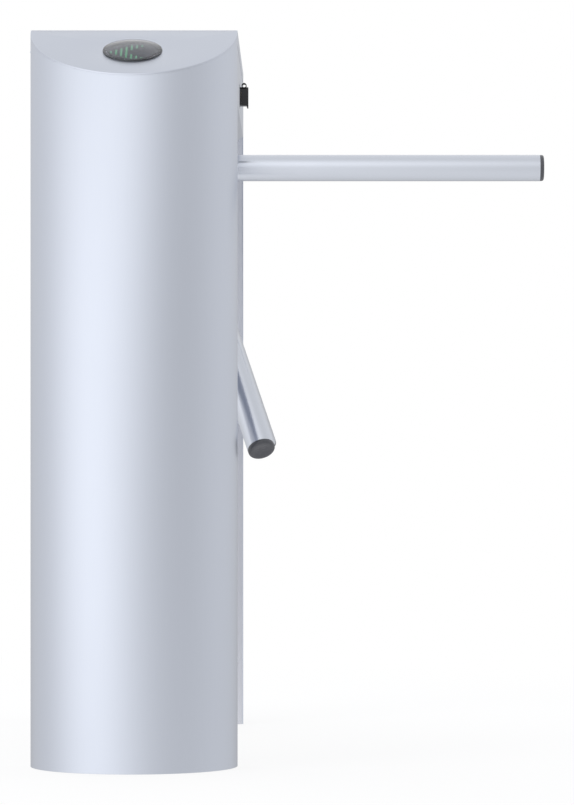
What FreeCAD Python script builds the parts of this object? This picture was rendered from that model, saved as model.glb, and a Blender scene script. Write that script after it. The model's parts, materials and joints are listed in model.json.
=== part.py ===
import FreeCAD
import Part
import math
import os

V = FreeCAD.Vector
UP = V(0, 0, 1)
ALONG_X = V(1, 0, 0)
ALONG_Y = V(0, 1, 0)

# Columns
column_width = 280.0
column_height = 996.0
inner_face_y = 389.0
nose_straight = 5.0
top_drop = 69.0
column_sheet = 1.5
panel_sheet = 1.5
top_sheet = 2.0
top_seam = 0.5
sheet_fit = 0.2
flange_width = 22.0
base_thickness = 8.0
anchor_hole = 14.0
anchor_from_side = 45.0
anchor_from_panel = 55.0
cable_entry = 50.0
cable_entry_from_panel = 90.0

# Screws that hold the inner panels
panel_screw = 5.0
panel_screw_head = 9.5
panel_screw_length = 10.0
panel_screw_edge = 12.0
panel_screw_low = 60.0
panel_screw_below_box = 71.0
panel_screw_rows = 3

# Indicator in each top plate
indicator_from_ridge = 77.0
bezel_diameter = 80.0
bezel_proud = 2.0
bezel_chamfer = 0.8
sleeve_diameter = 77.6
sleeve_depth = 7.0
lens_diameter = 75.6
lens_seat = 2.5
lens_depth = 1.0
board_ledge = 2.0
board_thickness = 1.6
indicator_fit = 0.2
led_length = 2.6
led_width = 4.2
led_height = 1.6
led_pitch_x = 6.8
led_pitch_y = 5.5
led_columns = 7
led_rows = 4
led_band = 4
arrow_tip = 28.6

# Bridge box and lid
box_sheet = 2.0
bend_radius = 1.0
slant_above_arm = 68.0
slant_below_arm = 80.0
lid_skirt = 20.0
lid_gap = 2.0
lid_end_gap = 1.0
lid_edge_radius = 1.6
rim_height = 12.0
rim_foot = 8.0
rim_gap = 0.5
rim_end = 6.0
shaft_opening = 46.0
box_bolt = 8.0
box_bolt_head = 13.0
box_bolt_head_height = 5.0
box_nut_height = 6.5
bolt_hole_gap = 0.25
box_nut_clear = 2.0
box_bolt_from_slant = 12.0
box_bolt_above_floor = 39.0
box_bolt_below_rim = 31.0
grommet_bore = 26.0
grommet_wall = 4.0
grommet_lip = 3.0
grommet_x = -70.0
grommet_above_floor = 114.0

# Lid hinges on the side away from the passage
hinge_y = 250.0
hinge_length = 60.0
hinge_pin = 4.0
hinge_knuckle = 7.0
hinge_leaf = 2.0
hinge_leaf_height = 17.0
hinge_side_gap = 0.3
pin_fit = 0.05

# Cam lock on the passage side, under a hinged dust cover
lock_y = -90.0
lock_above_slant = 29.0
lock_plate = 27.0
lock_plate_thickness = 1.5
lock_barrel = 18.0
lock_barrel_length = 18.0
lock_plug = 12.0
lock_plug_proud = 3.0
key_slot_width = 1.6
key_slot_length = 8.0
key_slot_depth = 6.0
lock_nut_width = 24.0
lock_nut_height = 5.0
cam_length = 36.0
cam_width = 12.0
cam_thickness = 3.0
cam_gap = 2.0
catch_width = 20.0
catch_offset = 30.0
catch_sheet = 2.0
catch_drop = 3.0
cover_proud = 12.0
cover_gap = 1.2
cover_wall = 2.0
cover_lip = 3.0
cover_ear = 8.0
cover_ear_width = 2.6
cover_pin = 6.0
cover_pin_bore = 4.4
cover_swing_gap = 0.5
cover_pin_rise = 14.8

# Hub and arms
arm_below_ridge = 166.0
arm_reach = 539.0
arm_diameter = 38.0
arm_wall = 1.5
arm_start = 56.0
arm_cap_length = 5.5
arm_cap_plug = 20.0
arm_fit = 0.15
arm_count = 3
apex_depth = 24.0
hub_gap = 2.0
hub_radius = 68.0
hub_side = 30.0
hub_nose_radius = 30.0
hub_edge = 3.0
hub_recess_radius = 20.0
hub_recess_depth = 16.0
hub_cap_thickness = 4.0
hub_bolt = 12.0
hub_bolt_head = 22.0
hub_bolt_head_height = 8.0
hub_bolt_length = 30.0
hub_washer = 3.0
grub_screw = 8.0
grub_from_apex = 72.0

# Main shaft and its bearings, along the hub axis from the arms' meeting point
shaft_head = 30.0
shaft_body = 25.0
shaft_thread = 20.0
bearing_outer = 52.0
bearing_width = 15.0
bearing_spacing = 18.0
ring_wall = 3.8
ball_radius = 3.4
ball_gap = 0.1
ball_count = 9
housing_front = -20.0
housing_lip = 2.0
housing_lip_bore = 42.0
housing_wall = 10.0
housing_flange = 104.0
housing_flange_thickness = 8.0
housing_bolt_circle = 88.0
housing_bolt_count = 6
housing_rear_lip = 3.0
key_width = 8.0
key_height = 7.0
hub_key_length = 36.0

# Mechanism plate behind the slanted face
plate_front = 2.0
plate_thickness = 6.0
plate_low = -92.0
plate_high = 95.0
plate_half_length = 155.0
standoff_diameter = 14.0
standoff_low = -74.0
standoff_high = 84.0
standoff_y = 135.0
mechanism_bolt = 6.0
mechanism_bolt_head = 10.0
mechanism_bolt_head_height = 4.0

# Lock disc and pawls
disc_boss = 40.0
disc_boss_length = 8.0
disc_radius = 55.0
disc_thickness = 8.0
notch_count = 6
notch_width = 14.0
notch_depth = 9.0
pawl_swing = 9.0
pawl_pivot_x = -48.0
pawl_pivot_y = 68.0
pawl_bar = 12.0
pawl_boss = 20.0
pawl_tail_x = 22.0
pawl_tooth = 9.0
pawl_tooth_radius = 50.0
pawl_side_gap = 0.2
pivot_pin = 10.0
pivot_pin_end = 4.0

# Solenoids and plungers
plunger_x = 12.0
plunger_pin = 5.0
plunger_pin_gap = 0.4
plunger_slot_extra = 4.0
plunger_tongue = 10.0
plunger_tongue_thickness = 4.0
plunger_rod = 12.0
plunger_rod_start = 78.0
plunger_rod_length = 47.0
plunger_gap = 0.3
solenoid_start = 100.0
solenoid_length = 45.0
solenoid_width = 30.0
bracket_sheet = 3.0

# Damper gear train and position sensor
gear_module = 2.0
gear_teeth = 48
pinion_teeth = 16
gear_thickness = 10.0
gear_boss_length = 4.0
gear_addendum = 0.8
gear_dedendum = 1.15
gear_backlash = 0.35
gear_pressure_angle = 20.0
gear_centre_extra = 0.1
damper_diameter = 46.0
damper_height = 24.0
damper_spindle = 8.0
damper_spindle_end = 3.0
sensor_boss_length = 8.0
sensor_disc_radius = 40.0
sensor_disc_thickness = 2.0
sensor_slot_width = 10.0
sensor_slot_depth = 8.0
sensor_arm = 3.5
sensor_gap = 2.0
sensor_reach = 8.0
sensor_post_x = 61.0
sensor_post = 3.0
sensor_width = 16.0
shaft_nut_width = 30.0
shaft_nut_height = 10.0
shaft_end = 4.0

# Electronics on the floor of the box
electronics_from_wall = 8.0
electronics_from_end = 48.0
board_width = 95.0
board_length = 160.0
pcb_thickness = 1.6
board_standoff = 10.0
board_standoff_diameter = 7.0
board_hole_edge = 7.0
chip_size = 26.0
chip_height = 6.0
terminal_height = 14.0
terminal_depth = 12.0
terminal_gap = 1.6
terminal_count = 8
supply_width = 92.0
supply_length = 150.0
supply_height = 40.0
supply_foot = 2.0
supply_slot_count = 9
supply_slot_width = 3.0

# Places worked out from the sizes above
half_width = column_width / 2
column_depth = nose_straight + half_width
nose_y = inner_face_y + nose_straight
apex_y = inner_face_y + column_depth
top_slope = top_drop / column_depth
top_angle = math.atan(top_slope)
top_sheet_upright = top_sheet / math.cos(top_angle)
anchor_x = half_width - anchor_from_side
anchor_y = inner_face_y + anchor_from_panel
cable_entry_y = inner_face_y + cable_entry_from_panel
arm_height = column_height - arm_below_ridge
side_wall_bottom = arm_height + slant_above_arm
box_floor = arm_height - slant_below_arm
tray_top = column_height - lid_skirt - lid_gap
wall_x = half_width - box_sheet
slope_end_x = half_width - slant_above_arm - slant_below_arm
box_nut_corner = box_bolt_head / math.sqrt(3)
box_bolt_x = half_width - column_sheet - flange_width - box_nut_corner - box_nut_clear
box_bolt_low = box_floor + box_bolt_above_floor
box_bolt_high = tray_top - box_bolt_below_rim
box_bolt_places = (
    (-box_bolt_x, box_bolt_low),
    (slope_end_x - box_bolt_from_slant, box_bolt_low),
    (-box_bolt_x, box_bolt_high),
    (box_bolt_x, box_bolt_high),
)
grommet_z = box_floor + grommet_above_floor
lock_z = side_wall_bottom + lock_above_slant
apex = V(half_width - slant_above_arm - apex_depth * math.sqrt(2), 0, arm_height)
rotor_frame = FreeCAD.Placement(apex, FreeCAD.Rotation(ALONG_Y, -45))
indicator_place = V(
    0,
    -inner_face_y - indicator_from_ridge * math.cos(top_angle),
    column_height - indicator_from_ridge * math.sin(top_angle),
)
indicator_frame = FreeCAD.Placement(indicator_place, FreeCAD.Rotation(ALONG_X, math.degrees(top_angle)))
face_inside = -apex_depth + box_sheet
hub_back = -apex_depth - hub_gap
hub_shoulder = hub_back - hub_side
hub_front = hub_shoulder - (hub_radius - hub_nose_radius)
hub_floor = hub_front + hub_recess_depth
front_bearing = housing_front + housing_lip
rear_bearing = front_bearing + bearing_width + bearing_spacing
bearings_end = rear_bearing + bearing_width
housing_end = bearings_end + housing_rear_lip
housing_radius = bearing_outer / 2 + housing_wall
plate_back = plate_front + plate_thickness
disc_start = bearings_end + disc_boss_length
disc_end = disc_start + disc_thickness
gear_start = disc_end + gear_boss_length
gear_end = gear_start + gear_thickness
sensor_start = gear_end + sensor_boss_length
sensor_end = sensor_start + sensor_disc_thickness
shaft_finish = sensor_end + shaft_nut_height + shaft_end
gear_distance = gear_module * (gear_teeth + pinion_teeth) / 2 + gear_centre_extra
plunger_axis = disc_end + pawl_side_gap + plunger_rod / 2 + plunger_gap
solenoid_end = solenoid_start + solenoid_length
cam_start = half_width - lock_barrel_length - cam_gap
cover_pin_x = half_width + lock_plate_thickness + cover_ear / 2 + cover_swing_gap
cover_pin_place = V(cover_pin_x, lock_y, lock_z + cover_pin_rise)
hinge_axis = V(-half_width - hinge_knuckle / 2 - hinge_side_gap, 0, tray_top + lid_gap / 2)
electronics_x = electronics_from_wall - wall_x
electronics_y = inner_face_y - box_sheet - electronics_from_end
board_x = (electronics_x, electronics_x + board_width)
board_y = (electronics_y - board_length, electronics_y)
supply_x = (electronics_x, electronics_x + supply_width)
supply_y = (-electronics_y, supply_length - electronics_y)


def block(x0, x1, y0, y1, z0, z1):
    return Part.makeBox(x1 - x0, y1 - y0, z1 - z0, V(x0, y0, z0))


def rod(diameter, length, base, axis=UP):
    return Part.makeCylinder(diameter / 2, length, base, axis)


def tube(outer, inner, length, base, axis=UP):
    return rod(outer, length, base, axis).cut(rod(inner, length, base, axis))


def prism(points, reach):
    return Part.Face(Part.makePolygon(points + points[:1])).extrude(reach)


def revolved(profile):
    points = [V(radius, 0, height) for radius, height in profile]
    return Part.Face(Part.makePolygon(points + points[:1])).revolve(V(0, 0, 0), UP, 360)


def hexagon(width, height, base):
    corner = width / math.sqrt(3)
    points = []
    for side in range(6):
        angle = math.radians(60 * side)
        points.append(base + V(corner * math.cos(angle), corner * math.sin(angle), 0))
    return prism(points, V(0, 0, height))


def fused(pieces):
    return pieces[0].multiFuse(pieces[1:]).removeSplitter()


def placed(shape, frame):
    copy = shape.copy()
    copy.Placement = frame.multiply(copy.Placement)
    return copy


def on_rotor(shape):
    return placed(shape, rotor_frame)


def across(shape):
    return shape.mirror(V(0, 0, 0), ALONG_Y)


def turned(shape, angle, centre=V(0, 0, 0)):
    copy = shape.copy()
    copy.rotate(centre, UP, angle)
    return copy


def save(name, *solids):
    shape = solids[0] if len(solids) == 1 else Part.makeCompound(list(solids))
    shape.exportStep("parts/" + name + ".step")


# Columns


def d_prism(inset, flat_y, low, high):
    radius = half_width - inset
    start = V(-radius, -flat_y, low)
    nose_left = V(-radius, -nose_y, low)
    nose_tip = V(0, -nose_y - radius, low)
    nose_right = V(radius, -nose_y, low)
    finish = V(radius, -flat_y, low)
    edges = [
        Part.LineSegment(start, nose_left).toShape(),
        Part.Arc(nose_left, nose_tip, nose_right).toShape(),
        Part.LineSegment(nose_right, finish).toShape(),
        Part.LineSegment(finish, start).toShape(),
    ]
    return Part.Face(Part.Wire(edges)).extrude(V(0, 0, high - low))


def top_height(distance_y):
    return column_height - (distance_y - inner_face_y) * top_slope


def above_top(drop):
    near = inner_face_y - column_depth
    far = apex_y + column_depth
    points = [
        V(-column_width, -near, top_height(near) - drop),
        V(-column_width, -far, top_height(far) - drop),
        V(-column_width, -far, 2 * column_height),
        V(-column_width, -near, 2 * column_height),
    ]
    return prism(points, V(2 * column_width, 0, 0))


def panel_screw_places():
    edge = half_width - column_sheet - panel_screw_edge
    step = (box_floor - panel_screw_below_box - panel_screw_low) / (panel_screw_rows - 1)
    heights = [panel_screw_low + step * row for row in range(panel_screw_rows)]
    return [(side * edge, height) for side in (-1, 1) for height in heights]


def column_shell():
    outer = d_prism(0, inner_face_y, 0, column_height)
    inner = d_prism(column_sheet, inner_face_y - column_sheet, 0, column_height)
    shell = outer.cut(inner)
    flange_y = inner_face_y + panel_sheet
    edge = half_width - column_sheet
    low = base_thickness + sheet_fit
    for side in (-1, 1):
        near, far = sorted((side * edge, side * (edge - flange_width)))
        strip = block(near, far, -flange_y - column_sheet, -flange_y, low, column_height)
        shell = shell.fuse(strip)
    for x, z in panel_screw_places():
        shell = shell.cut(rod(panel_screw, panel_screw_length, V(x, -inner_face_y, z), -ALONG_Y))
    return shell.cut(above_top(top_sheet_upright + top_seam)).removeSplitter()


def inner_panel():
    edge = half_width - column_sheet - sheet_fit
    back = inner_face_y + panel_sheet
    high = top_height(back) - top_sheet_upright - top_seam
    panel = block(-edge, edge, -back, -inner_face_y, 0, high)
    for x, z in panel_screw_places():
        panel = panel.cut(rod(panel_screw, panel_sheet, V(x, -inner_face_y, z), -ALONG_Y))
    for x, z in box_bolt_places:
        hole = rod(box_bolt + 2 * bolt_hole_gap, panel_sheet, V(x, -inner_face_y, z), -ALONG_Y)
        panel = panel.cut(hole)
    grommet = grommet_bore + 2 * grommet_wall
    return panel.cut(rod(grommet, panel_sheet, V(grommet_x, -inner_face_y, grommet_z), -ALONG_Y))


def panel_screws():
    screws = []
    for x, z in panel_screw_places():
        shank = rod(panel_screw, panel_screw_length, V(x, -inner_face_y, z), -ALONG_Y)
        head = rod(panel_screw_head, panel_screw / 2, V(x, -inner_face_y, z), ALONG_Y)
        screws.append(fused([shank, head]))
    return screws


def base_plate():
    back = inner_face_y + panel_sheet + sheet_fit
    plate = d_prism(column_sheet + sheet_fit, back, 0, base_thickness)
    for side in (-1, 1):
        plate = plate.cut(rod(anchor_hole, base_thickness, V(side * anchor_x, -anchor_y, 0)))
    return plate.cut(rod(cable_entry, base_thickness, V(0, -cable_entry_y, 0)))


def top_plate():
    solid = d_prism(0, inner_face_y, 0, 2 * column_height)
    plate = solid.cut(above_top(0)).common(above_top(top_sheet_upright))
    hole = rod(sleeve_diameter + 2 * indicator_fit, 2 * top_sheet, V(0, 0, -1.5 * top_sheet))
    return plate.cut(placed(hole, indicator_frame))


def indicator_bezel():
    rim = bezel_diameter / 2
    sleeve = sleeve_diameter / 2
    lens = lens_diameter / 2 + indicator_fit
    bore = lens - lens_seat
    ledge = bore - board_ledge
    return revolved([
        (rim, 0),
        (rim, bezel_proud - bezel_chamfer),
        (rim - bezel_chamfer, bezel_proud),
        (lens, bezel_proud),
        (lens, -lens_depth),
        (bore, -lens_depth),
        (bore, -sleeve_depth + board_ledge),
        (ledge, -sleeve_depth + board_ledge),
        (ledge, -sleeve_depth),
        (sleeve, -sleeve_depth),
        (sleeve, 0),
    ])


def indicator_lens():
    height = bezel_proud + lens_depth - indicator_fit
    lens = rod(lens_diameter, height, V(0, 0, -lens_depth))
    return lens.makeChamfer(bezel_chamfer / 2, [lens.Edges[0]])


def indicator_board():
    bore = lens_diameter + 2 * indicator_fit - 2 * lens_seat
    return rod(bore - 2 * indicator_fit, board_thickness, V(0, 0, -sleeve_depth + board_ledge))


def led_places():
    places = []
    for column in range(led_columns):
        for row in range(-led_rows, led_rows + 1):
            if column - led_band < abs(row) <= column:
                places.append((column * led_pitch_x - arrow_tip, row * led_pitch_y))
    return places


def indicator_leds():
    low = -sleeve_depth + board_ledge + board_thickness
    half_length = led_length / 2
    half_led = led_width / 2
    leds = []
    high = low + led_height
    for x, y in led_places():
        leds.append(block(x - half_length, x + half_length, y - half_led, y + half_led, low, high))
    return leds


def both_ends(shapes):
    return shapes + [across(shape) for shape in shapes]


def build_columns():
    for name, shape in (
        ("column_shell", column_shell()),
        ("inner_panel", inner_panel()),
        ("top_plate", top_plate()),
    ):
        save("front_" + name, shape)
        save("rear_" + name, across(shape))
    save("base_plates", *both_ends([base_plate()]))
    save("panel_screws", *both_ends(panel_screws()))
    for name, shapes in (
        ("indicator_bezels", [indicator_bezel()]),
        ("indicator_lenses", [indicator_lens()]),
        ("indicator_boards", [indicator_board()]),
        ("indicator_leds", indicator_leds()),
    ):
        save(name, *both_ends([placed(shape, indicator_frame) for shape in shapes]))


# Bridge box, lid and hinges


def box_section(inset, reach_y, top):
    shift = inset * math.sqrt(2)
    x = half_width - inset
    z = box_floor + inset
    points = [
        V(x, -reach_y, top),
        V(x, -reach_y, side_wall_bottom + shift - inset),
        V(slope_end_x - shift + inset, -reach_y, z),
        V(-x, -reach_y, z),
        V(-x, -reach_y, top),
    ]
    return prism(points, V(0, 2 * reach_y, 0))


def with_bends(section, radius):
    boxes = [(edge, edge.BoundBox) for edge in section.Edges]
    lengthwise = [edge for edge, box in boxes if box.YLength > inner_face_y and box.ZMax < tray_top]
    return section.makeFillet(radius, lengthwise)


def box_tray():
    outer = with_bends(box_section(0, inner_face_y, tray_top), bend_radius + box_sheet)
    hollow = box_section(box_sheet, inner_face_y - box_sheet, tray_top + box_sheet)
    tray = outer.cut(with_bends(hollow, bend_radius))
    rim_x = wall_x - rim_gap
    rim_y = inner_face_y - box_sheet - rim_end
    for side in (-1, 1):
        near, far = sorted((side * wall_x, side * (rim_x - box_sheet)))
        tray = tray.fuse(block(near, far, -rim_y, rim_y, tray_top - rim_foot, tray_top))
        near, far = sorted((side * rim_x, side * (rim_x - box_sheet)))
        tray = tray.fuse(block(near, far, -rim_y, rim_y, tray_top, tray_top + rim_height))
    opening = rod(shaft_opening, 3 * box_sheet, V(0, 0, -apex_depth - box_sheet))
    tray = tray.cut(on_rotor(opening))
    for x, y in standoff_places():
        tray = tray.cut(on_rotor(rod(mechanism_bolt, 3 * box_sheet, V(x, y, -apex_depth - box_sheet))))
    barrel = rod(lock_barrel + 2 * sheet_fit, 3 * box_sheet, V(wall_x - box_sheet, lock_y, lock_z), ALONG_X)
    tray = tray.cut(barrel)
    for end in (-1, 1):
        start = end * (inner_face_y - 2 * box_sheet)
        for x, z in box_bolt_places:
            hole = rod(box_bolt + 2 * bolt_hole_gap, 3 * box_sheet, V(x, start, z), V(0, end, 0))
            tray = tray.cut(hole)
        grommet = grommet_bore + 2 * grommet_wall
        tray = tray.cut(rod(grommet, 3 * box_sheet, V(grommet_x, start, grommet_z), V(0, end, 0)))
    return tray.removeSplitter()


def box_lid():
    low = column_height - lid_skirt
    reach = inner_face_y - lid_end_gap
    outer = block(-half_width, half_width, -reach, reach, low, column_height)
    edges = []
    for edge in outer.Edges:
        middle = edge.CenterOfMass
        if middle.z > column_height - lid_gap and abs(middle.x) > half_width - lid_gap:
            edges.append(edge)
    outer = outer.makeFillet(lid_edge_radius, edges)
    inside = reach - box_sheet
    inner = block(-wall_x, wall_x, -inside, inside, low, column_height - box_sheet)
    return outer.cut(inner)


def lid_catch():
    top = column_height - box_sheet
    low = lock_z - cam_width / 2 - catch_drop - catch_sheet
    strip_x = cam_start - cam_thickness - cam_gap - 2 * catch_sheet
    y0 = lock_y + catch_offset - catch_width / 2
    y1 = y0 + catch_width
    strip = block(strip_x, strip_x + catch_sheet, y0, y1, low, top)
    tongue = block(strip_x, cam_start + catch_sheet, y0, y1, low, low + catch_sheet)
    foot = block(strip_x - catch_width, strip_x, y0, y1, top - catch_sheet, top)
    return fused([strip, tongue, foot])


def hinge_leaf_solid(up, knuckle_spans):
    knuckle_clear = hinge_knuckle / 2 + hinge_side_gap
    face = -half_width
    direction = 1 if up else -1
    near = hinge_axis.z + direction * knuckle_clear
    low, high = sorted((near, near + direction * hinge_leaf_height))
    half = hinge_length / 2
    pieces = [block(face - hinge_leaf, face, -half, half, low, high)]
    for y0, y1 in knuckle_spans:
        low, high = sorted((hinge_axis.z, near))
        pieces.append(block(face - hinge_leaf, face - hinge_side_gap, y0, y1, low, high))
        pieces.append(rod(hinge_knuckle, y1 - y0, V(hinge_axis.x, y0, hinge_axis.z), ALONG_Y))
    leaf = fused(pieces)
    bore = rod(hinge_pin + 2 * pin_fit, hinge_length, V(hinge_axis.x, -half, hinge_axis.z), ALONG_Y)
    return leaf.cut(bore)


def hinge_pieces():
    half = hinge_length / 2
    third = hinge_length / 6
    fixed = hinge_leaf_solid(False, [(-half, -third - hinge_side_gap), (third + hinge_side_gap, half)])
    moving = hinge_leaf_solid(True, [(-third, third)])
    pin = rod(hinge_pin, hinge_length, V(hinge_axis.x, -half, hinge_axis.z), ALONG_Y)
    return fixed, moving, pin


def box_bolts():
    bolts = []
    nuts = []
    inside = inner_face_y - box_sheet
    nut_seat = inner_face_y + panel_sheet
    for x, z in box_bolt_places:
        length = nut_seat + box_nut_height - inside
        shank = rod(box_bolt, length, V(x, -inside, z), -ALONG_Y)
        head = rod(box_bolt_head, box_bolt_head_height, V(x, -inside, z), ALONG_Y)
        bolts.append(fused([shank, head]))
        nut = hexagon(box_bolt_head, box_nut_height, V(0, 0, 0))
        nut = nut.cut(rod(box_bolt + 2 * pin_fit, box_nut_height, V(0, 0, 0)))
        frame = FreeCAD.Placement(V(x, -nut_seat, z), FreeCAD.Rotation(ALONG_X, 90))
        nuts.append(placed(nut, frame))
    return bolts, nuts


def grommet():
    inside = inner_face_y - box_sheet
    outer = grommet_bore + 2 * grommet_wall
    length = box_sheet + panel_sheet
    body = rod(outer - 2 * sheet_fit, length, V(grommet_x, -inside, grommet_z), -ALONG_Y)
    lip = rod(outer + 2 * grommet_lip, grommet_lip, V(grommet_x, -inside, grommet_z), ALONG_Y)
    back = rod(outer + 2 * grommet_lip, grommet_lip, V(grommet_x, -inside - length, grommet_z), -ALONG_Y)
    start = V(grommet_x, -inside + grommet_lip, grommet_z)
    bore = rod(grommet_bore, length + 2 * grommet_lip, start, -ALONG_Y)
    return fused([body, lip, back]).cut(bore)


def build_box():
    save("box_tray", box_tray())
    save("box_lid", box_lid())
    save("lid_catch", lid_catch())
    fixed, moving, pin = hinge_pieces()
    for name, shape in (
        ("lid_hinge_fixed_leaves", fixed),
        ("lid_hinge_moving_leaves", moving),
        ("lid_hinge_pins", pin),
    ):
        near = shape.copy()
        near.translate(V(0, -hinge_y, 0))
        far = shape.copy()
        far.translate(V(0, hinge_y, 0))
        save(name, near, far)
    bolts, nuts = box_bolts()
    save("box_bolts", *both_ends(bolts + nuts))
    save("cable_grommets", *both_ends([grommet()]))


# Cam lock and dust cover


def lock_body():
    half = lock_plate / 2
    face = half_width + lock_plate_thickness
    plate = block(half_width, face, lock_y - half, lock_y + half, lock_z - half, lock_z + half)
    barrel = rod(lock_barrel, lock_barrel_length, V(half_width, lock_y, lock_z), -ALONG_X)
    pieces = [plate, barrel]
    for y0 in (lock_y - half, lock_y + half - cover_ear_width):
        y1 = y0 + cover_ear_width
        pin = V(cover_pin_place.x, y0, cover_pin_place.z)
        pieces.append(rod(cover_ear, cover_ear_width, pin, ALONG_Y))
        web = cover_ear / 4
        pieces.append(block(half_width, pin.x, y0, y1, pin.z - web, pin.z + web))
    body = fused(pieces)
    length = lock_barrel_length + lock_plate_thickness
    bore = rod(lock_plug + 2 * pin_fit, length, V(face, lock_y, lock_z), -ALONG_X)
    pin_hole = rod(cover_pin, lock_plate, V(cover_pin_place.x, lock_y - half, cover_pin_place.z), ALONG_Y)
    return body.cut(bore).cut(pin_hole)


def lock_plug_solid():
    face = half_width + lock_plate_thickness + lock_plug_proud
    tail = cam_start - cam_thickness
    plug = rod(lock_plug, face - cam_start, V(face, lock_y, lock_z), -ALONG_X)
    stud = rod(lock_plug / 2, cam_thickness, V(cam_start, lock_y, lock_z), -ALONG_X)
    screw = rod(lock_plug, cam_gap, V(tail, lock_y, lock_z), -ALONG_X)
    half_slot = key_slot_width / 2
    half_length = key_slot_length / 2
    slot = block(
        face - key_slot_depth,
        face,
        lock_y - half_slot,
        lock_y + half_slot,
        lock_z - half_length,
        lock_z + half_length,
    )
    return fused([plug, stud, screw]).cut(slot)


def lock_cam():
    half = cam_width / 2
    back = cam_start - cam_thickness
    arm = block(back, cam_start, lock_y - half, lock_y + half, lock_z, lock_z + cam_length)
    eye = rod(cam_width, cam_thickness, V(cam_start, lock_y, lock_z), -ALONG_X)
    return fused([arm, eye]).cut(rod(lock_plug / 2, cam_thickness, V(cam_start, lock_y, lock_z), -ALONG_X))


def lock_nut():
    nut = hexagon(lock_nut_width, lock_nut_height, V(0, 0, 0))
    nut = nut.cut(rod(lock_barrel + 2 * pin_fit, lock_nut_height, V(0, 0, 0)))
    return placed(nut, FreeCAD.Placement(V(wall_x, lock_y, lock_z), FreeCAD.Rotation(ALONG_Y, -90)))


def dust_cover():
    half = lock_plate / 2
    back = half_width + lock_plate_thickness + cover_gap
    front = half_width + cover_proud
    top = cover_pin_place.z - cover_ear / 2 - cover_swing_gap
    low = lock_z - half
    shell = block(back, front, lock_y - half, lock_y + half, low, top)
    hollow = block(
        back,
        front - cover_wall,
        lock_y - half + cover_wall,
        lock_y + half - cover_wall,
        low + cover_wall,
        top - cover_wall,
    )
    shell = shell.cut(hollow)
    lip = block(front - cover_wall, front, lock_y - half, lock_y + half, low - cover_lip, low)
    knuckle_half = half - cover_ear_width - hinge_side_gap
    start = V(cover_pin_place.x, lock_y - knuckle_half, cover_pin_place.z)
    knuckle = rod(cover_ear, 2 * knuckle_half, start, ALONG_Y)
    reach = cover_ear / 2
    web = block(
        cover_pin_place.x - reach,
        cover_pin_place.x + reach,
        lock_y - knuckle_half,
        lock_y + knuckle_half,
        top - cover_wall,
        cover_pin_place.z,
    )
    cover = fused([shell, lip, knuckle, web])
    return cover.cut(rod(cover_pin + 2 * pin_fit, 2 * knuckle_half, start, ALONG_Y))


def build_lock():
    save("lock_body", lock_body())
    save("lock_plug", lock_plug_solid())
    save("lock_cam", lock_cam())
    save("lock_nut", lock_nut())
    save("dust_cover", dust_cover())
    start = V(cover_pin_place.x, lock_y - lock_plate / 2, cover_pin_place.z)
    save("dust_cover_pin", tube(cover_pin, cover_pin_bore, lock_plate, start, ALONG_Y))


# Hub, arms and shaft, drawn about the hub axis with the arms' meeting point at the origin


def arm_axis(turn):
    slant = math.sqrt(0.5)
    angle = math.radians(turn)
    return V(slant * math.cos(angle), slant * math.sin(angle), -slant)


def arm_turns():
    return [360 / arm_count * arm for arm in range(arm_count)]


def grub_frame(turn):
    slant = math.sqrt(0.5)
    angle = math.radians(turn)
    outward = V(slant * math.cos(angle), slant * math.sin(angle), slant)
    return arm_axis(turn) * grub_from_apex + outward * (arm_diameter / 2 + arm_fit), outward


def hub_solid():
    return revolved([
        (0, hub_back),
        (hub_radius - hub_edge, hub_back),
        (hub_radius, hub_back - hub_edge),
        (hub_radius, hub_shoulder),
        (hub_nose_radius, hub_front),
        (0, hub_front),
    ])


def hub_key(diameter, start, length):
    seat = diameter / 2 - key_height / 2
    return block(seat, seat + key_height, -key_width / 2, key_width / 2, start, start + length)


def hub_head():
    head = hub_solid()
    head = head.cut(rod(2 * hub_recess_radius, hub_recess_depth, V(0, 0, hub_front)))
    head = head.cut(rod(shaft_head, hub_back - hub_front, V(0, 0, hub_front)))
    head = head.cut(hub_key(shaft_head, hub_back - hub_key_length, hub_key_length))
    for turn in arm_turns():
        axis = arm_axis(turn)
        head = head.cut(rod(arm_diameter + 2 * arm_fit, arm_reach, axis * arm_start, axis))
        seat, outward = grub_frame(turn)
        head = head.cut(rod(grub_screw, hub_radius, seat, outward))
    return head


def arm_tube(turn):
    axis = arm_axis(turn)
    length = arm_reach - arm_cap_length - arm_start
    return tube(arm_diameter, arm_diameter - 2 * arm_wall, length, axis * arm_start, axis)


def arm_cap(turn):
    end = arm_reach - arm_cap_length
    plug = arm_diameter / 2 - arm_wall - arm_fit
    radius = arm_diameter / 2
    round_edge = arm_cap_length - arm_wall
    body = revolved([(0, end - arm_cap_plug), (plug, end - arm_cap_plug), (plug, end), (0, end)])
    dome = rod(arm_diameter, arm_cap_length, V(0, 0, end))
    top = max(dome.Edges, key=lambda edge: edge.CenterOfMass.z)
    dome = dome.makeFillet(min(round_edge, radius / 2), [top])
    axis = arm_axis(turn)
    return placed(fused([body, dome]), FreeCAD.Placement(V(0, 0, 0), FreeCAD.Rotation(UP, axis)))


def grub_screws():
    screws = []
    for turn in arm_turns():
        seat, outward = grub_frame(turn)
        screws.append(rod(grub_screw, hub_radius, seat, outward).common(hub_solid()))
    return screws


def main_shaft():
    shoulder = housing_front + housing_lip
    head = rod(shaft_head, shoulder - hub_floor, V(0, 0, hub_floor))
    body = rod(shaft_body, sensor_end - shoulder, V(0, 0, shoulder))
    thread = rod(shaft_thread, shaft_finish - sensor_end, V(0, 0, sensor_end))
    shaft = fused([head, body, thread])
    shaft = shaft.cut(rod(hub_bolt, hub_bolt_length, V(0, 0, hub_floor)))
    for key in drive_keys():
        shaft = shaft.cut(key)
    return shaft


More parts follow.
